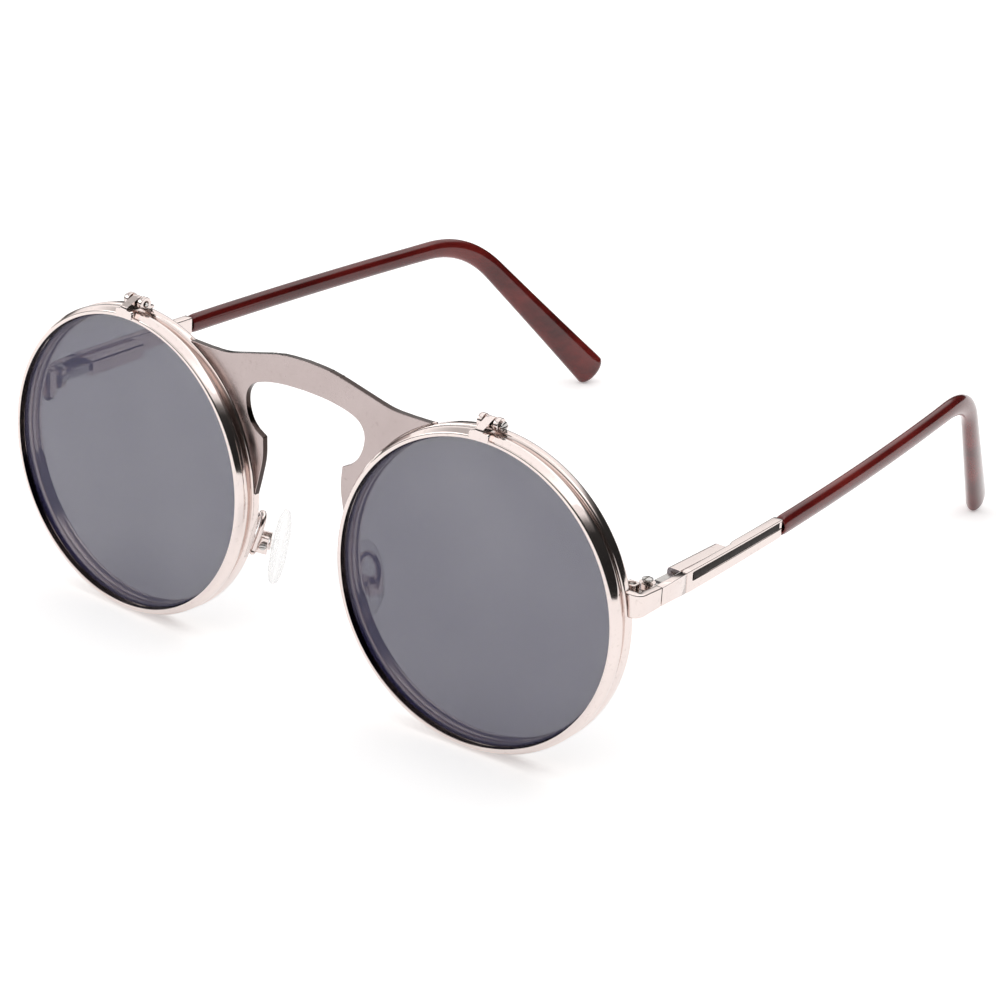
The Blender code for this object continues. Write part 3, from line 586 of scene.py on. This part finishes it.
def flip_knuckle():
    """Middle barrel, with an arm down to a foot on the front of the dark ring."""
    centre = (FLIP_AXIS.y, FLIP_AXIS.z)
    front = -CLEAR - FOOT_THICKNESS
    under = RING_OUTER_R + CLEAR
    barrel = arc(centre, KNUCKLE_R, math.radians(-95), math.radians(120), 36)
    top = FLIP_AXIS.z
    arm = [(front + 0.5 * MM, top), (front + 0.15 * MM, top - 0.15 * MM)]
    arm += [(front, top - 0.5 * MM), (front, under)]
    body = prism(barrel + arm + [(centre[0], under)], -KNUCKLE_HALF, KNUCKLE_HALF, "X")
    foot_top = under + CLEAR
    corners = [(-FOOT_HALF, FOOT_LOW), (FOOT_HALF, FOOT_LOW), (FOOT_HALF, foot_top), (-FOOT_HALF, foot_top)]
    foot = prism(rounded(corners, 0.5 * MM, 5), front, -CLEAR, "Y")
    hole = rod(FLIP_AXIS - X * THROUGH, FLIP_AXIS + X * THROUGH, FLIP_HOLE_R)
    return cut(joined(body, foot), hole)


def screw(start, axis, length, shaft_r, head_r, head_height):
    """A slotted screw with a domed head that starts at a point and stands up along the axis."""
    profile = [(shaft_r * 0.75, -length), (shaft_r, -length + 0.1 * MM), (shaft_r, -0.02 * MM)]
    profile += [(head_r * 0.97, 0), (head_r, 0.04 * MM), (head_r, head_height * 0.5)]
    for a in (0.3, 0.6, 0.9, 1.2, 1.4):
        profile.append((head_r * math.cos(a), head_height * (0.5 + 0.5 * math.sin(a))))
    body = turned(profile, ROD_STEPS, start, axis, False)
    one, two = across(axis)
    floor = start + axis * head_height * 0.5
    wide, thin = head_r * 1.5, 0.13 * MM
    outline = [(-wide, -thin), (wide, -thin), (wide, thin), (-wide, thin)]
    slot = swept([(floor, one, two, outline), (floor + axis * head_height, one, two, outline)])
    return cut(body, slot)


# ---------------------------------------------------------------- endpiece and temple hinge
STRAP_THICKNESS, STRAP_X, STRAP_SOFT = 1.3 * MM, 64.35 * MM, 0.32 * MM
HINGE_SCREW_R, HINGE_HEAD_R, HINGE_HEAD_HEIGHT, LOCK_HEAD_HEIGHT = 0.4 * MM, 0.9 * MM, 0.5 * MM, 0.6 * MM
# The strap's middle line seen from above, and its half height there, in mm.
STRAP_PATH = [(60.6, 4.8, 2.05), (61.8, 4.8, 2.05), (63.0, 4.85, 2.04), (63.95, 5.15, 1.98)]
STRAP_PATH += [(64.35, 5.95, 1.88), (64.35, 7.6, 1.8), (64.35, 9.0, 1.74), (64.35, 10.2, 1.7)]


def strap():
    """Flat strap from the rim round the corner to the temple hinge."""
    points = spline([Vector(row) * MM for row in STRAP_PATH], 6)
    flat = [Vector((p.x, p.y, 0)) for p in points]
    stations = []
    for k, point in enumerate(flat):
        ahead = (flat[min(k + 1, len(flat) - 1)] - flat[max(k - 1, 0)]).normalized()
        if k == len(flat) - 1:
            ahead = Y  # square to the temple at the hinge
        half, thick = points[k].z, STRAP_THICKNESS / 2
        corners = [(-thick, -half), (thick, -half), (thick, half), (-thick, half)]
        stations.append((point + Z * TEMPLE_AXIS.z, ahead.cross(Z), Z, rounded(corners, STRAP_SOFT, 4)))
    return swept(stations)


def hinge_ear(low, high):
    """One of the endpiece's two hinge knuckles, between two heights from the temple axis."""
    a, b = TEMPLE_AXIS.x, TEMPLE_AXIS.y
    outline = arc((a, b), BARREL_R, math.radians(-12), math.radians(270), 48)
    outline += [(STRAP_X, b - BARREL_R), (STRAP_X, b - CLEAR)]
    return prism(outline, TEMPLE_AXIS.z + low, TEMPLE_AXIS.z + high, "Z")


def endpiece():
    """Strap and knuckles in one, hollowed to the rim and drilled for the screw."""
    body = joined(strap(), hinge_ear(EAR_INNER, EAR_OUTER), hinge_ear(-EAR_OUTER, -EAR_INNER))
    rim_r = RING_OUTER_R + CLEAR * 0.4
    rim_space = turned([(rim_r, -5 * MM), (rim_r, 8 * MM)], CUTTER_STEPS, closed=False)
    bmesh.ops.transform(rim_space, matrix=eye_place(), verts=rim_space.verts)
    hole = rod(TEMPLE_AXIS - Z * THROUGH, TEMPLE_AXIS + Z * THROUGH, BARREL_HOLE_R)
    return cut(body, rim_space, hole)


LOCK_LOW, LOCK_HIGH = Vector((60.3, 6.4, 3.2)) * MM, Vector((62.4, 8.3, 7.8)) * MM
LOCK_MIDDLE = (LOCK_LOW + LOCK_HIGH) / 2


def rim_lock():
    """Closing block behind the endpiece, drilled for its screw."""
    (x0, y0, low), (x1, y1, high) = LOCK_LOW, LOCK_HIGH
    body = prism(rounded([(x0, y0), (x1, y0), (x1, y1), (x0, y1)], 0.5 * MM, 5), low, high, "Z")
    under = Vector((LOCK_MIDDLE.x, LOCK_MIDDLE.y, -20 * MM))
    return cut(body, rod(under, under + Z * 60 * MM, BARREL_HOLE_R))


# ---------------------------------------------------------------- nose pads
def pad_axes():
    """The pad's own directions: across it, along it, and away from the nose."""
    width = Vector((math.sin(PAD_SPLAY), math.cos(PAD_SPLAY), 0))
    length = Vector((-math.sin(PAD_TILT), 0, math.cos(PAD_TILT)))
    outward = width.cross(length).normalized()
    return width, outward.cross(width).normalized(), outward


PAD_WIDTH, PAD_LENGTH, PAD_OUTWARD = pad_axes()
PAD_AXIS = PAD_CENTRE + PAD_OUTWARD * 2.4 * MM
PAD_HOLE_R, PAD_BOX_HALF, PAD_WIRE_R = 0.5 * MM, 1.4 * MM, 0.5 * MM
PAD_SCREW_R, PAD_SCREW_LENGTH, PAD_HEAD_R, PAD_HEAD_HEIGHT = 0.25 * MM, 3.2 * MM, 0.6 * MM, 0.4 * MM
# The pad's thickness in slices: share of its full outline, and depth away from the nose in mm.
PAD_SLICES = [(0.45, -1.10), (0.66, -1.06), (0.82, -0.95), (0.93, -0.74), (0.985, -0.42), (1.0, -0.05)]
PAD_SLICES += [(0.985, 0.28), (0.93, 0.52), (0.84, 0.70), (0.72, 0.79), (0.5, 0.80)]
# The wire from the rim up, over and down towards the pad box, in mm in the front's frame.
PAD_WIRE = [(11.8, 4.45, -9.8), (11.1, 4.6, -7.5), (10.5, 4.9, -5.3), (10.5, 5.5, -3.6), (11.2, 6.2, -3.0)]
PAD_WIRE += [(12.3, 6.6, -3.8), (13.1, 6.7, -5.6)]


def pad_block(widths, lengths, depths, corner=0.0):
    """A block in the pad's directions, measured in mm from the pad's axis."""
    (w0, w1), (l0, l1) = widths, lengths
    scaled = [(a * MM, b * MM) for a, b in ((w0, l0), (w1, l0), (w1, l1), (w0, l1))]
    if corner:
        scaled = rounded(scaled, corner * MM, 5)
    return swept([(PAD_AXIS + PAD_OUTWARD * depth * MM, PAD_WIDTH, PAD_LENGTH, scaled) for depth in depths])


def pad_hole():
    """The pad screw's hole through box and tab."""
    half = 3 * MM
    return rod(PAD_AXIS - PAD_WIDTH * half, PAD_AXIS + PAD_WIDTH * half, PAD_HOLE_R)


def pad_box():
    """Small cup that holds the pad's tab."""
    shell = pad_block((-1.4, 1.4), (-1.6, 1.6), (-0.7, 1.3), 0.4)
    slot = pad_block((-0.8, 0.8), (-2.0, 2.0), (-2.0, 0.75))
    return cut(shell, slot, pad_hole())


def nose_pad():
    """A soft oval pad, fuller below, with a rounded rim and a stiff tab."""
    steps = 64
    stations = []
    for grow, depth in PAD_SLICES:
        outline = []
        for k in range(steps):
            a = 2 * math.pi * k / steps
            fuller = 1 - 0.10 * math.sin(a)
            width = PAD_HALF_WIDTH * grow * math.cos(a) * fuller * 0.98
            outline.append((width, PAD_HALF_LENGTH * grow * math.sin(a)))
        stations.append((PAD_CENTRE + PAD_OUTWARD * depth * MM, PAD_WIDTH, PAD_LENGTH, outline))
    tab = pad_block((-0.5, 0.5), (-0.75, 0.75), (-2.2, 0.45), 0.2)
    return cut(joined(swept(stations), tab), pad_hole())


def pad_arm_points():
    """The wire's path, down to its end on the pad box."""
    end = PAD_AXIS + PAD_OUTWARD * 1.75 * MM
    points = [Vector(point) * MM for point in PAD_WIRE]
    points += [end + PAD_OUTWARD * 0.75 * MM + PAD_LENGTH * 1.2 * MM, end + PAD_OUTWARD * 0.35 * MM]
    return points


# ---------------------------------------------------------------- temple
def temple_point(y):
    """The temple's middle line before its bend, by depth."""
    t = max(0.0, (y - TEMPLE_START.y) / (TEMPLE_CORNER.y - TEMPLE_START.y))
    x = TEMPLE_START.x + (TEMPLE_CORNER.x - TEMPLE_START.x) * t**TEMPLE_CURVE
    return Vector((x, y, TEMPLE_START.z + (TEMPLE_CORNER.z - TEMPLE_START.z) * t))


def temple_tail(bend_steps, run_steps):
    """The middle line's bend over the ear and the straight run down to its end."""
    before = temple_point(TEMPLE_CORNER.y - BEND_REACH)
    out = (TEMPLE_END - TEMPLE_CORNER).normalized()
    after = TEMPLE_CORNER + out * BEND_REACH
    shares = [k / bend_steps for k in range(bend_steps + 1)]
    bend = [before * (1 - t) ** 2 + TEMPLE_CORNER * 2 * t * (1 - t) + after * t**2 for t in shares]
    run = (TEMPLE_END - after).length
    return bend + [after + out * run * k / run_steps for k in range(1, run_steps + 1)]


def along_path(points):
    """Each point with its sideways and upward directions."""
    frames = []
    for k, point in enumerate(points):
        ahead = (points[min(k + 1, len(points) - 1)] - points[max(k - 1, 0)]).normalized()
        side = ahead.cross(Z).normalized()
        frames.append((point, side, side.cross(ahead).normalized()))
    return frames


def bar_section(inner, outer, half_z, groove):
    """Bar section with rounded corners and, outside, a groove in its upper half."""
    low, high = -0.06 * half_z, 0.78 * half_z
    ease = 0.12 * half_z
    outline = [(-inner, -half_z), (outer, -half_z), (outer, low), (outer - groove, low + ease)]
    outline += [(outer - groove, high - ease), (outer, high), (outer, half_z), (-inner, half_z)]
    soft, tight = 0.30 * MM, 0.06 * MM
    return rounded(outline, [soft, soft, tight, tight, tight, tight, 0.16 * MM, soft], 4)


# Depth, inner and outer half widths, half height and depth of the groove, all in mm.
BAR_STATIONS = [
    (10.5, 0.70, 0.55, 1.58, 0.0),
    (10.62, 0.75, 0.60, 1.65, 0.0),
    (16.9, 0.75, 0.62, 1.80, 0.0),
    (17.05, 0.66, 0.52, 1.72, 0.0),
    (17.3, 0.60, 0.50, 1.72, 0.0),
    (17.45, 0.60, 0.62, 1.84, 0.0),
    (18.6, 0.60, 0.64, 1.85, 0.0),
    (19.1, 0.60, 0.64, 1.85, 0.33),
    (24.0, 0.60, 0.65, 1.81, 0.33),
    (30.9, 0.60, 0.66, 1.75, 0.33),
    (31.4, 0.76, 0.66, 1.745, 0.33),
    (32.0, 0.95, 0.66, 1.74, 0.33),
    (38.0, 0.95, 0.70, 1.68, 0.33),
    (44.4, 0.95, 0.75, 1.62, 0.33),
    (44.9, 0.95, 0.75, 1.60, 0.0),
    (45.1, 0.92, 0.72, 1.57, 0.0),
]


def bar_frame(y):
    """Point and directions on the bar, by depth in mm."""
    return along_path([temple_point(y * MM), temple_point((y + 1) * MM)])[0]


def temple_arm():
    """Flat bar with its shoulders and groove, and the square wire core that runs on inside the tip."""
    core_half = 0.55 * MM
    stations = []
    for y, inner, outer, half_z, groove in BAR_STATIONS:
        point, side, up = bar_frame(y)
        stations.append((point, side, up, bar_section(inner * MM, outer * MM, half_z * MM, groove * MM)))
    core = [temple_point(y * MM) for y in (45.2, 52, 60, 67, 75, 82, 90, 98)] + temple_tail(14, 12)[:-4]
    for point, side, up in along_path(core):
        stations.append((point, side, up, bar_section(core_half, core_half, core_half, 0.0)))
    return swept(stations)


def groove_reflection_sheet():
    """A dark sheet that lies in the groove, just under the bar's surface: painted reflection of the dark
    surroundings.
    """
    stations = []
    for y, inner, outer, half_z, groove in BAR_STATIONS:
        if groove == 0.0:
            continue
        point, side, up = bar_frame(y)
        face, floor = (outer - 0.09) * MM, (outer - 0.42) * MM
        high = 0.72 * half_z * MM
        corners = [(floor, 0), (face, 0), (face, high), (floor, high)]
        stations.append((point, side, up, rounded(corners, 0.05 * MM, 3)))
    return swept(stations)


def tip_half_sizes(share):
    """Half width and half height of the tip, by share of its length."""
    swell = max(0.0, (share - 0.5) / 0.5)
    return (1.25 + 0.55 * swell) * MM, (1.75 + 1.55 * swell**1.5) * MM


def temple_tip():
    """Moulded sleeve: fuller towards its rounded end, with a small step where it meets the bar."""
    sides, bore_sides, bore_r = 36, 16, 1.05 * MM
    mouth, mouth_share = 0.9 * MM, 0.86
    runs = [45.5, 45.62, 45.9, 46.6] + [50 + 4.8 * k for k in range(12)]
    points = [temple_point(y * MM) for y in runs] + temple_tail(22, 16)
    frames = along_path(points)
    travelled = [0.0]
    for one, two in zip(points, points[1:]):
        travelled.append(travelled[-1] + (two - one).length)
    total = travelled[-1]
    outer = []
    for (point, side, up), gone in zip(frames, travelled):
        half_x, half_z = tip_half_sizes(gone / total)
        grow = min(1.0, mouth_share + (1 - mouth_share) * math.sqrt(min(1.0, gone / mouth)))
        outer.append((point, side, up, oval(half_x * grow, half_z * grow, sides)))
    point, side, up = frames[-1]
    ahead = up.cross(side).normalized()
    half_x, half_z = tip_half_sizes(1.0)
    for k in range(1, 9):
        angle = math.pi / 2 * k / 8.4
        reach, share = 1.6 * math.sin(angle), math.cos(angle) ** 0.75
        outer.append((point + ahead * reach * MM, side, up, oval(half_x * share, half_z * share, sides)))
    frames[0] = (temple_point(44.5 * MM), frames[0][1], frames[0][2])
    bore = [(point, side, up, oval(bore_r, bore_r, bore_sides)) for point, side, up in frames[:-1]]
    return cut(swept(outer), swept(bore))


# ---------------------------------------------------------------- spring box
BOX_FRONT, BOX_BACK, BOX_HALF_X, BOX_HALF_Z = 17.6 * MM, 30.6 * MM, 1.25 * MM, 1.6 * MM
BORE_R, BORE_FRONT, MOUTH_R = 0.92 * MM, 19.3 * MM, 0.5 * MM


def spring_box():
    """Housing of the spring hinge, bored from the back and open at the front for the rod."""
    a, c = TEMPLE_AXIS.x, TEMPLE_AXIS.z
    corners = [(a - BOX_HALF_X, c - BOX_HALF_Z), (a + BOX_HALF_X, c - BOX_HALF_Z)]
    corners += [(a + BOX_HALF_X, c + BOX_HALF_Z), (a - BOX_HALF_X, c + BOX_HALF_Z)]
    shell = prism(rounded(corners, [0.75 * MM, 0.3 * MM, 0.3 * MM, 0.75 * MM], 6), BOX_FRONT, BOX_BACK, "Y")
    mouth = rod(Vector((a, BOX_FRONT - 1 * MM, c)), Vector((a, BORE_FRONT + 1 * MM, c)), MOUTH_R)
    bore = rod(Vector((a, BORE_FRONT, c)), Vector((a, BOX_BACK + 1 * MM, c)), BORE_R)
    return cut(shell, mouth, bore)


SPRING_R, SPRING_WIRE_R, SPRING_TURNS = 0.6 * MM, 0.11 * MM, 7
SPRING_FRONT, SPRING_BACK = 19.72 * MM, 26.5 * MM


def hinge_spring():
    """Coil spring round the slider's rod, its end turns closer together."""
    steps = 24
    points = []
    for k in range(SPRING_TURNS * steps + 1):
        share = k / (SPRING_TURNS * steps)
        eased = share - 0.6 * math.sin(2 * math.pi * share) / (2 * math.pi)
        angle = 2 * math.pi * SPRING_TURNS * share
        middle = Vector((TEMPLE_AXIS.x, SPRING_FRONT + (SPRING_BACK - SPRING_FRONT) * eased, TEMPLE_AXIS.z))
        points.append(middle + (X * math.cos(angle) + Z * math.sin(angle)) * SPRING_R)
    return tube(points, SPRING_WIRE_R, 10)


def box_seam(z):
    """Solder between the box and the bar, at a height above or below the temple axis."""
    steps, first, length = 24, 18.0, 12.2
    points = []
    for k in range(steps + 1):
        y = (first + length * k / steps) * MM
        inner_face = bar_frame(y / MM)[0].x - 0.6 * MM
        points.append(Vector(((inner_face + TEMPLE_AXIS.x + BOX_HALF_X) / 2, y, TEMPLE_AXIS.z + z)))
    return bead(points, 0.33 * MM, z * 1000)


# ---------------------------------------------------------------- assembly
def build_side(label, side):
    """All the pieces of one side. A piece stands for the CAD node of its own name unless told otherwise."""

    def put(name, shape, look, body="front", nodes=None, slot="rose_metal", **more):
        nodes = [f"{label}_{n}" for n in ([name] if nodes is None else nodes)]
        body = body if body == "front" else f"{label}_{body}"
        return add(f"{label}_{name}_visual", shape, look, side, body, nodes, slot, **more)

    put("rim", rim_ring(), METAL, eye=True, crisp=50)
    clear_r, half_thickness, bevel_height = LENS_R - 0.1 * MM, 0.4 * MM, 0.5 * MM
    front, back = RIM_MIDDLE - half_thickness, RIM_MIDDLE + half_thickness
    clear = lens(front, back, clear_r, clear_r + bevel_height, clear_r)
    put("base_lens", clear, CLEAR_GLASS, slot="clear_lens", eye=True)
    put("flip_yoke", flip_yoke(), METAL, eye=True, bevel=0.14 * MM)
    flip_head = FLIP_AXIS + X * (YOKE_HALF + CLEAR)
    flip_length = 2 * YOKE_HALF + SCREW_END
    flip_screw = screw(flip_head, X, flip_length, FLIP_PIN_R, FLIP_HEAD_R, FLIP_HEAD_HEIGHT)
    put("flip_screw", flip_screw, STEEL, slot="screw_steel", eye=True)
    # the flip ring's second material is painted shade on the wall in front of the lens
    put("flip_ring", flip_ring(), METAL, "flip", eye=True, crisp=50).data.materials.append(DARK_EDGE_AND_PAINTED_SHADE)
    dark = lens(front=1.04 * MM, back=1.62 * MM, front_r=25.37 * MM, edge_r=25.58 * MM, back_r=25.04 * MM)
    put("flip_lens", dark, DARK_GLASS, "flip", slot="tinted_lens", eye=True)
    put("flip_knuckle", flip_knuckle(), METAL, "flip", eye=True, bevel=0.14 * MM)

    put("endpiece", endpiece(), METAL, bevel=0.09 * MM)
    put("rim_lock", rim_lock(), METAL, bevel=0.12 * MM)
    lock_head = Vector((LOCK_MIDDLE.x, LOCK_MIDDLE.y, LOCK_LOW.z - CLEAR))
    lock_length = LOCK_HIGH.z - LOCK_LOW.z
    lock_screw = screw(lock_head, -Z, lock_length, HINGE_SCREW_R, HINGE_HEAD_R, LOCK_HEAD_HEIGHT)
    put("rim_lock_screw", lock_screw, STEEL, slot="screw_steel")
    hinge_head = TEMPLE_AXIS + Z * (EAR_OUTER + CLEAR)
    hinge_length = 2 * EAR_OUTER + SCREW_END
    hinge_screw = screw(hinge_head, Z, hinge_length, HINGE_SCREW_R, HINGE_HEAD_R, HINGE_HEAD_HEIGHT)
    put("hinge_screw", hinge_screw, STEEL, slot="screw_steel")

    put("pad_arm", tube(spline(pad_arm_points(), 8), PAD_WIRE_R, 20), METAL)
    put("pad_box", pad_box(), METAL, bevel=0.1 * MM)
    pad_head = PAD_AXIS - PAD_WIDTH * (PAD_BOX_HALF + CLEAR)
    pad_screw = screw(pad_head, -PAD_WIDTH, PAD_SCREW_LENGTH, PAD_SCREW_R, PAD_HEAD_R, PAD_HEAD_HEIGHT)
    put("pad_screw", pad_screw, STEEL, slot="screw_steel")
    put("nose_pad", nose_pad(), SILICONE, "pad", slot="pad_silicone", crisp=60)

    put("spring_box", spring_box(), BAR, "temple", bevel=0.14 * MM)
    put("temple_arm", temple_arm(), BAR, "temple", crisp=40)
    # dark sheet in the groove: painted reflection of the dark surroundings
    put("groove_reflection_sheet", groove_reflection_sheet(), GROOVE_PAINTED_REFLECTION, "temple", nodes=[])
    put("temple_tip", temple_tip(), PLASTIC, "temple", slot="tip_plastic", crisp=60)

    # Solder round the rim: radius, depth, first and last angle, steps and thickness.
    plate_back = BRIDGE_DEPTH + BRIDGE_THICKNESS * 0.55
    seams = {
        "bridge_solder": (RING_OUTER_R + 0.12 * MM, plate_back, PLATE_FROM - 1, PLATE_TO - 1, 60, 0.36 * MM),
        "yoke_solder": (RING_OUTER_R + 0.10 * MM, RIM_MIDDLE - 0.2 * MM, 94.6, 85.4, 16, 0.42 * MM),
        "endpiece_solder": (RING_OUTER_R + 0.10 * MM, RIM_MIDDLE, 16.3, 7.4, 16, 0.42 * MM),
    }
    for k, (name, (*path, thick)) in enumerate(seams.items()):
        put(name, bead(rim_arc(*path), thick, k + 1.5), SOLDER, nodes=[], eye=True)
    foot = [Vector((x, -0.16, 26.25)) * MM for x in (-1.55, -0.8, 0, 0.8, 1.55)]
    put("foot_solder", bead(spline(foot, 4), 0.30 * MM, 7.5), SOLDER, "flip", nodes=[], eye=True)
    first, second = pad_arm_points()[:2]
    away = (first - second).normalized()
    blob = [first + away * reach * MM for reach in (-1.3, -0.5, 0.25)]
    put("pad_arm_solder", bead(blob, 0.62 * MM, 3.5), SOLDER, nodes=[])
    for name, z in (("box_solder_upper", 0.95 * MM), ("box_solder_lower", -0.95 * MM)):
        put(name, box_seam(z), SOLDER, "temple", nodes=[])

    spring = put("hinge_spring", hinge_spring(), STEEL, "slider", slot="screw_steel", crisp=80)
    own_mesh(spring)

    for node, look in (("hinge_slider", STEEL), ("spring_nut", STEEL), ("spring_box_plug", METAL)):
        for slot in frame["nodes"][f"{label}_{node}"].material_slots:
            slot.link = "OBJECT"
            slot.material = look


for label, side in SIDES.items():
    build_side(label, side)
# the plate's darker plating is painted shade
plate = add("bridge_plate_visual", bridge_plate(), PLATE, nodes=["bridge_plate"], bevel=0.16 * MM, crisp=25)
plate.data.materials.append(DARK_EDGE_AND_PAINTED_SHADE)
for face in plate.data.polygons:  # the cut edges are darker than the faces
    face.material_index = 1 if abs(face.normal.y) < 0.5 else 0


# ---------------------------------------------------------------- studio
WHITE = (1, 1, 1, 1)


def floor():
    """Plain white floor. It glows more far from the lamps, so that no grey band shows at the backdrop."""
    half_size = 3.0
    glow_near, glow_far, glow_start, glow_end = 0.34, 0.50, 0.30, 0.85
    shape = bmesh.new()
    bmesh.ops.create_grid(shape, x_segments=8, y_segments=8, size=half_size)
    mesh = bpy.data.meshes.new("floor")
    shape.to_mesh(mesh)
    shape.free()
    made = Nodes("floor_white")
    made.set(Metallic=0.0, IOR=1.3, Specular_IOR_Level=0.1, Emission_Color=WHITE)
    made.feed(Base_Color=made.mixed(made.noise(3, 2), (0.90, 0.90, 0.90, 1), (0.92, 0.92, 0.92, 1)))
    made.feed(Roughness=made.grey(made.noise(40, 2), 0.85, 0.95))
    distance = made.tree.nodes.new("ShaderNodeVectorMath")
    distance.operation = "LENGTH"
    made.link(made.coords, distance.inputs[0])
    glow = made.grey(distance.outputs["Value"], glow_near, glow_far, glow_start, glow_end)
    made.feed(Emission_Strength=glow)
    mesh.materials.append(made.material)
    piece = bpy.data.objects.new("floor", mesh)
    bpy.context.scene.collection.objects.link(piece)
    piece.location = (0, 0, cad_box[0][2] - 0.02 * MM)


def softbox(name, place, aim, size, power):
    """A square lamp aimed at a point: size in metres, power in watts."""
    light = bpy.data.lights.new(name, "AREA")
    light.size = size
    light.energy = power
    lamp = bpy.data.objects.new(name, light)
    bpy.context.scene.collection.objects.link(lamp)
    lamp.location = place
    lamp.rotation_euler = (Vector(aim) - Vector(place)).to_track_quat("-Z", "Y").to_euler()


def world():
    """Pale studio, a little dimmer straight above, with a dark band low down on one side.

    The band draws the dark lines in the metal. What the camera itself sees of the backdrop is plain white.
    """
    made = bpy.data.worlds.new("studio")
    bpy.context.scene.world = made
    made.use_nodes = True
    tree = made.node_tree
    coords = tree.nodes.new("ShaderNodeTexCoord")
    slant = tree.nodes.new("ShaderNodeVectorMath")
    slant.operation = "DOT_PRODUCT"
    slant.inputs[1].default_value = (-0.35, 0.0, 1.0)
    tree.links.new(coords.outputs["Generated"], slant.inputs[0])
    levels = [(0.0, 0.02), (0.33, 0.03), (0.44, 0.20), (0.52, 0.95), (0.70, 1.15), (0.92, 0.55)]
    stops = [(place, (level, level * 0.98, level * 0.97, 1)) for place, level in levels]
    studio = colour_ramp(tree, slant.outputs["Value"], stops)
    path = tree.nodes.new("ShaderNodeLightPath")
    seen = tree.nodes.new("ShaderNodeMix")
    seen.data_type = "RGBA"
    tree.links.new(path.outputs["Is Camera Ray"], seen.inputs[0])
    tree.links.new(studio, seen.inputs[6])
    seen.inputs[7].default_value = WHITE
    background = tree.nodes["Background"]
    tree.links.new(seen.outputs[2], background.inputs["Color"])
    background.inputs["Strength"].default_value = 1.1


# The photo's viewpoint, solved on the outlines of the lenses and temples: 36 degrees round, 23 degrees up.
CAMERA_PLACE = FRONT + Vector((314.27, -379.50, 214.58)) * MM
CAMERA_AHEAD = Vector((-0.53850, 0.74763, -0.38868)).normalized()
CAMERA_UP = Vector((-0.28366, 0.27351, 0.91909)).normalized()
CAMERA_LENS, CAMERA_SENSOR = 120.03, 36.0


def camera():
    """The photo's camera."""
    data = bpy.data.cameras.new("camera")
    data.sensor_width = CAMERA_SENSOR
    data.lens = CAMERA_LENS
    data.clip_start = 0.01
    data.clip_end = 50
    eye = bpy.data.objects.new("camera", data)
    bpy.context.scene.collection.objects.link(eye)
    right = CAMERA_AHEAD.cross(CAMERA_UP).normalized()
    up = right.cross(CAMERA_AHEAD)
    turn = Matrix((right, up, -CAMERA_AHEAD)).transposed().to_4x4()
    eye.matrix_world = Matrix.Translation(CAMERA_PLACE) @ turn
    bpy.context.scene.camera = eye


floor()
world()
softbox("top", (0.0, 0.1, 0.9), (0, 0, 0), 1.3, 3.4)
softbox("front_left", (-0.8, -0.6, 0.6), (0, 0, 0.02), 0.5, 1.2)
camera()
bpy.context.scene.view_settings.view_transform = "Standard"
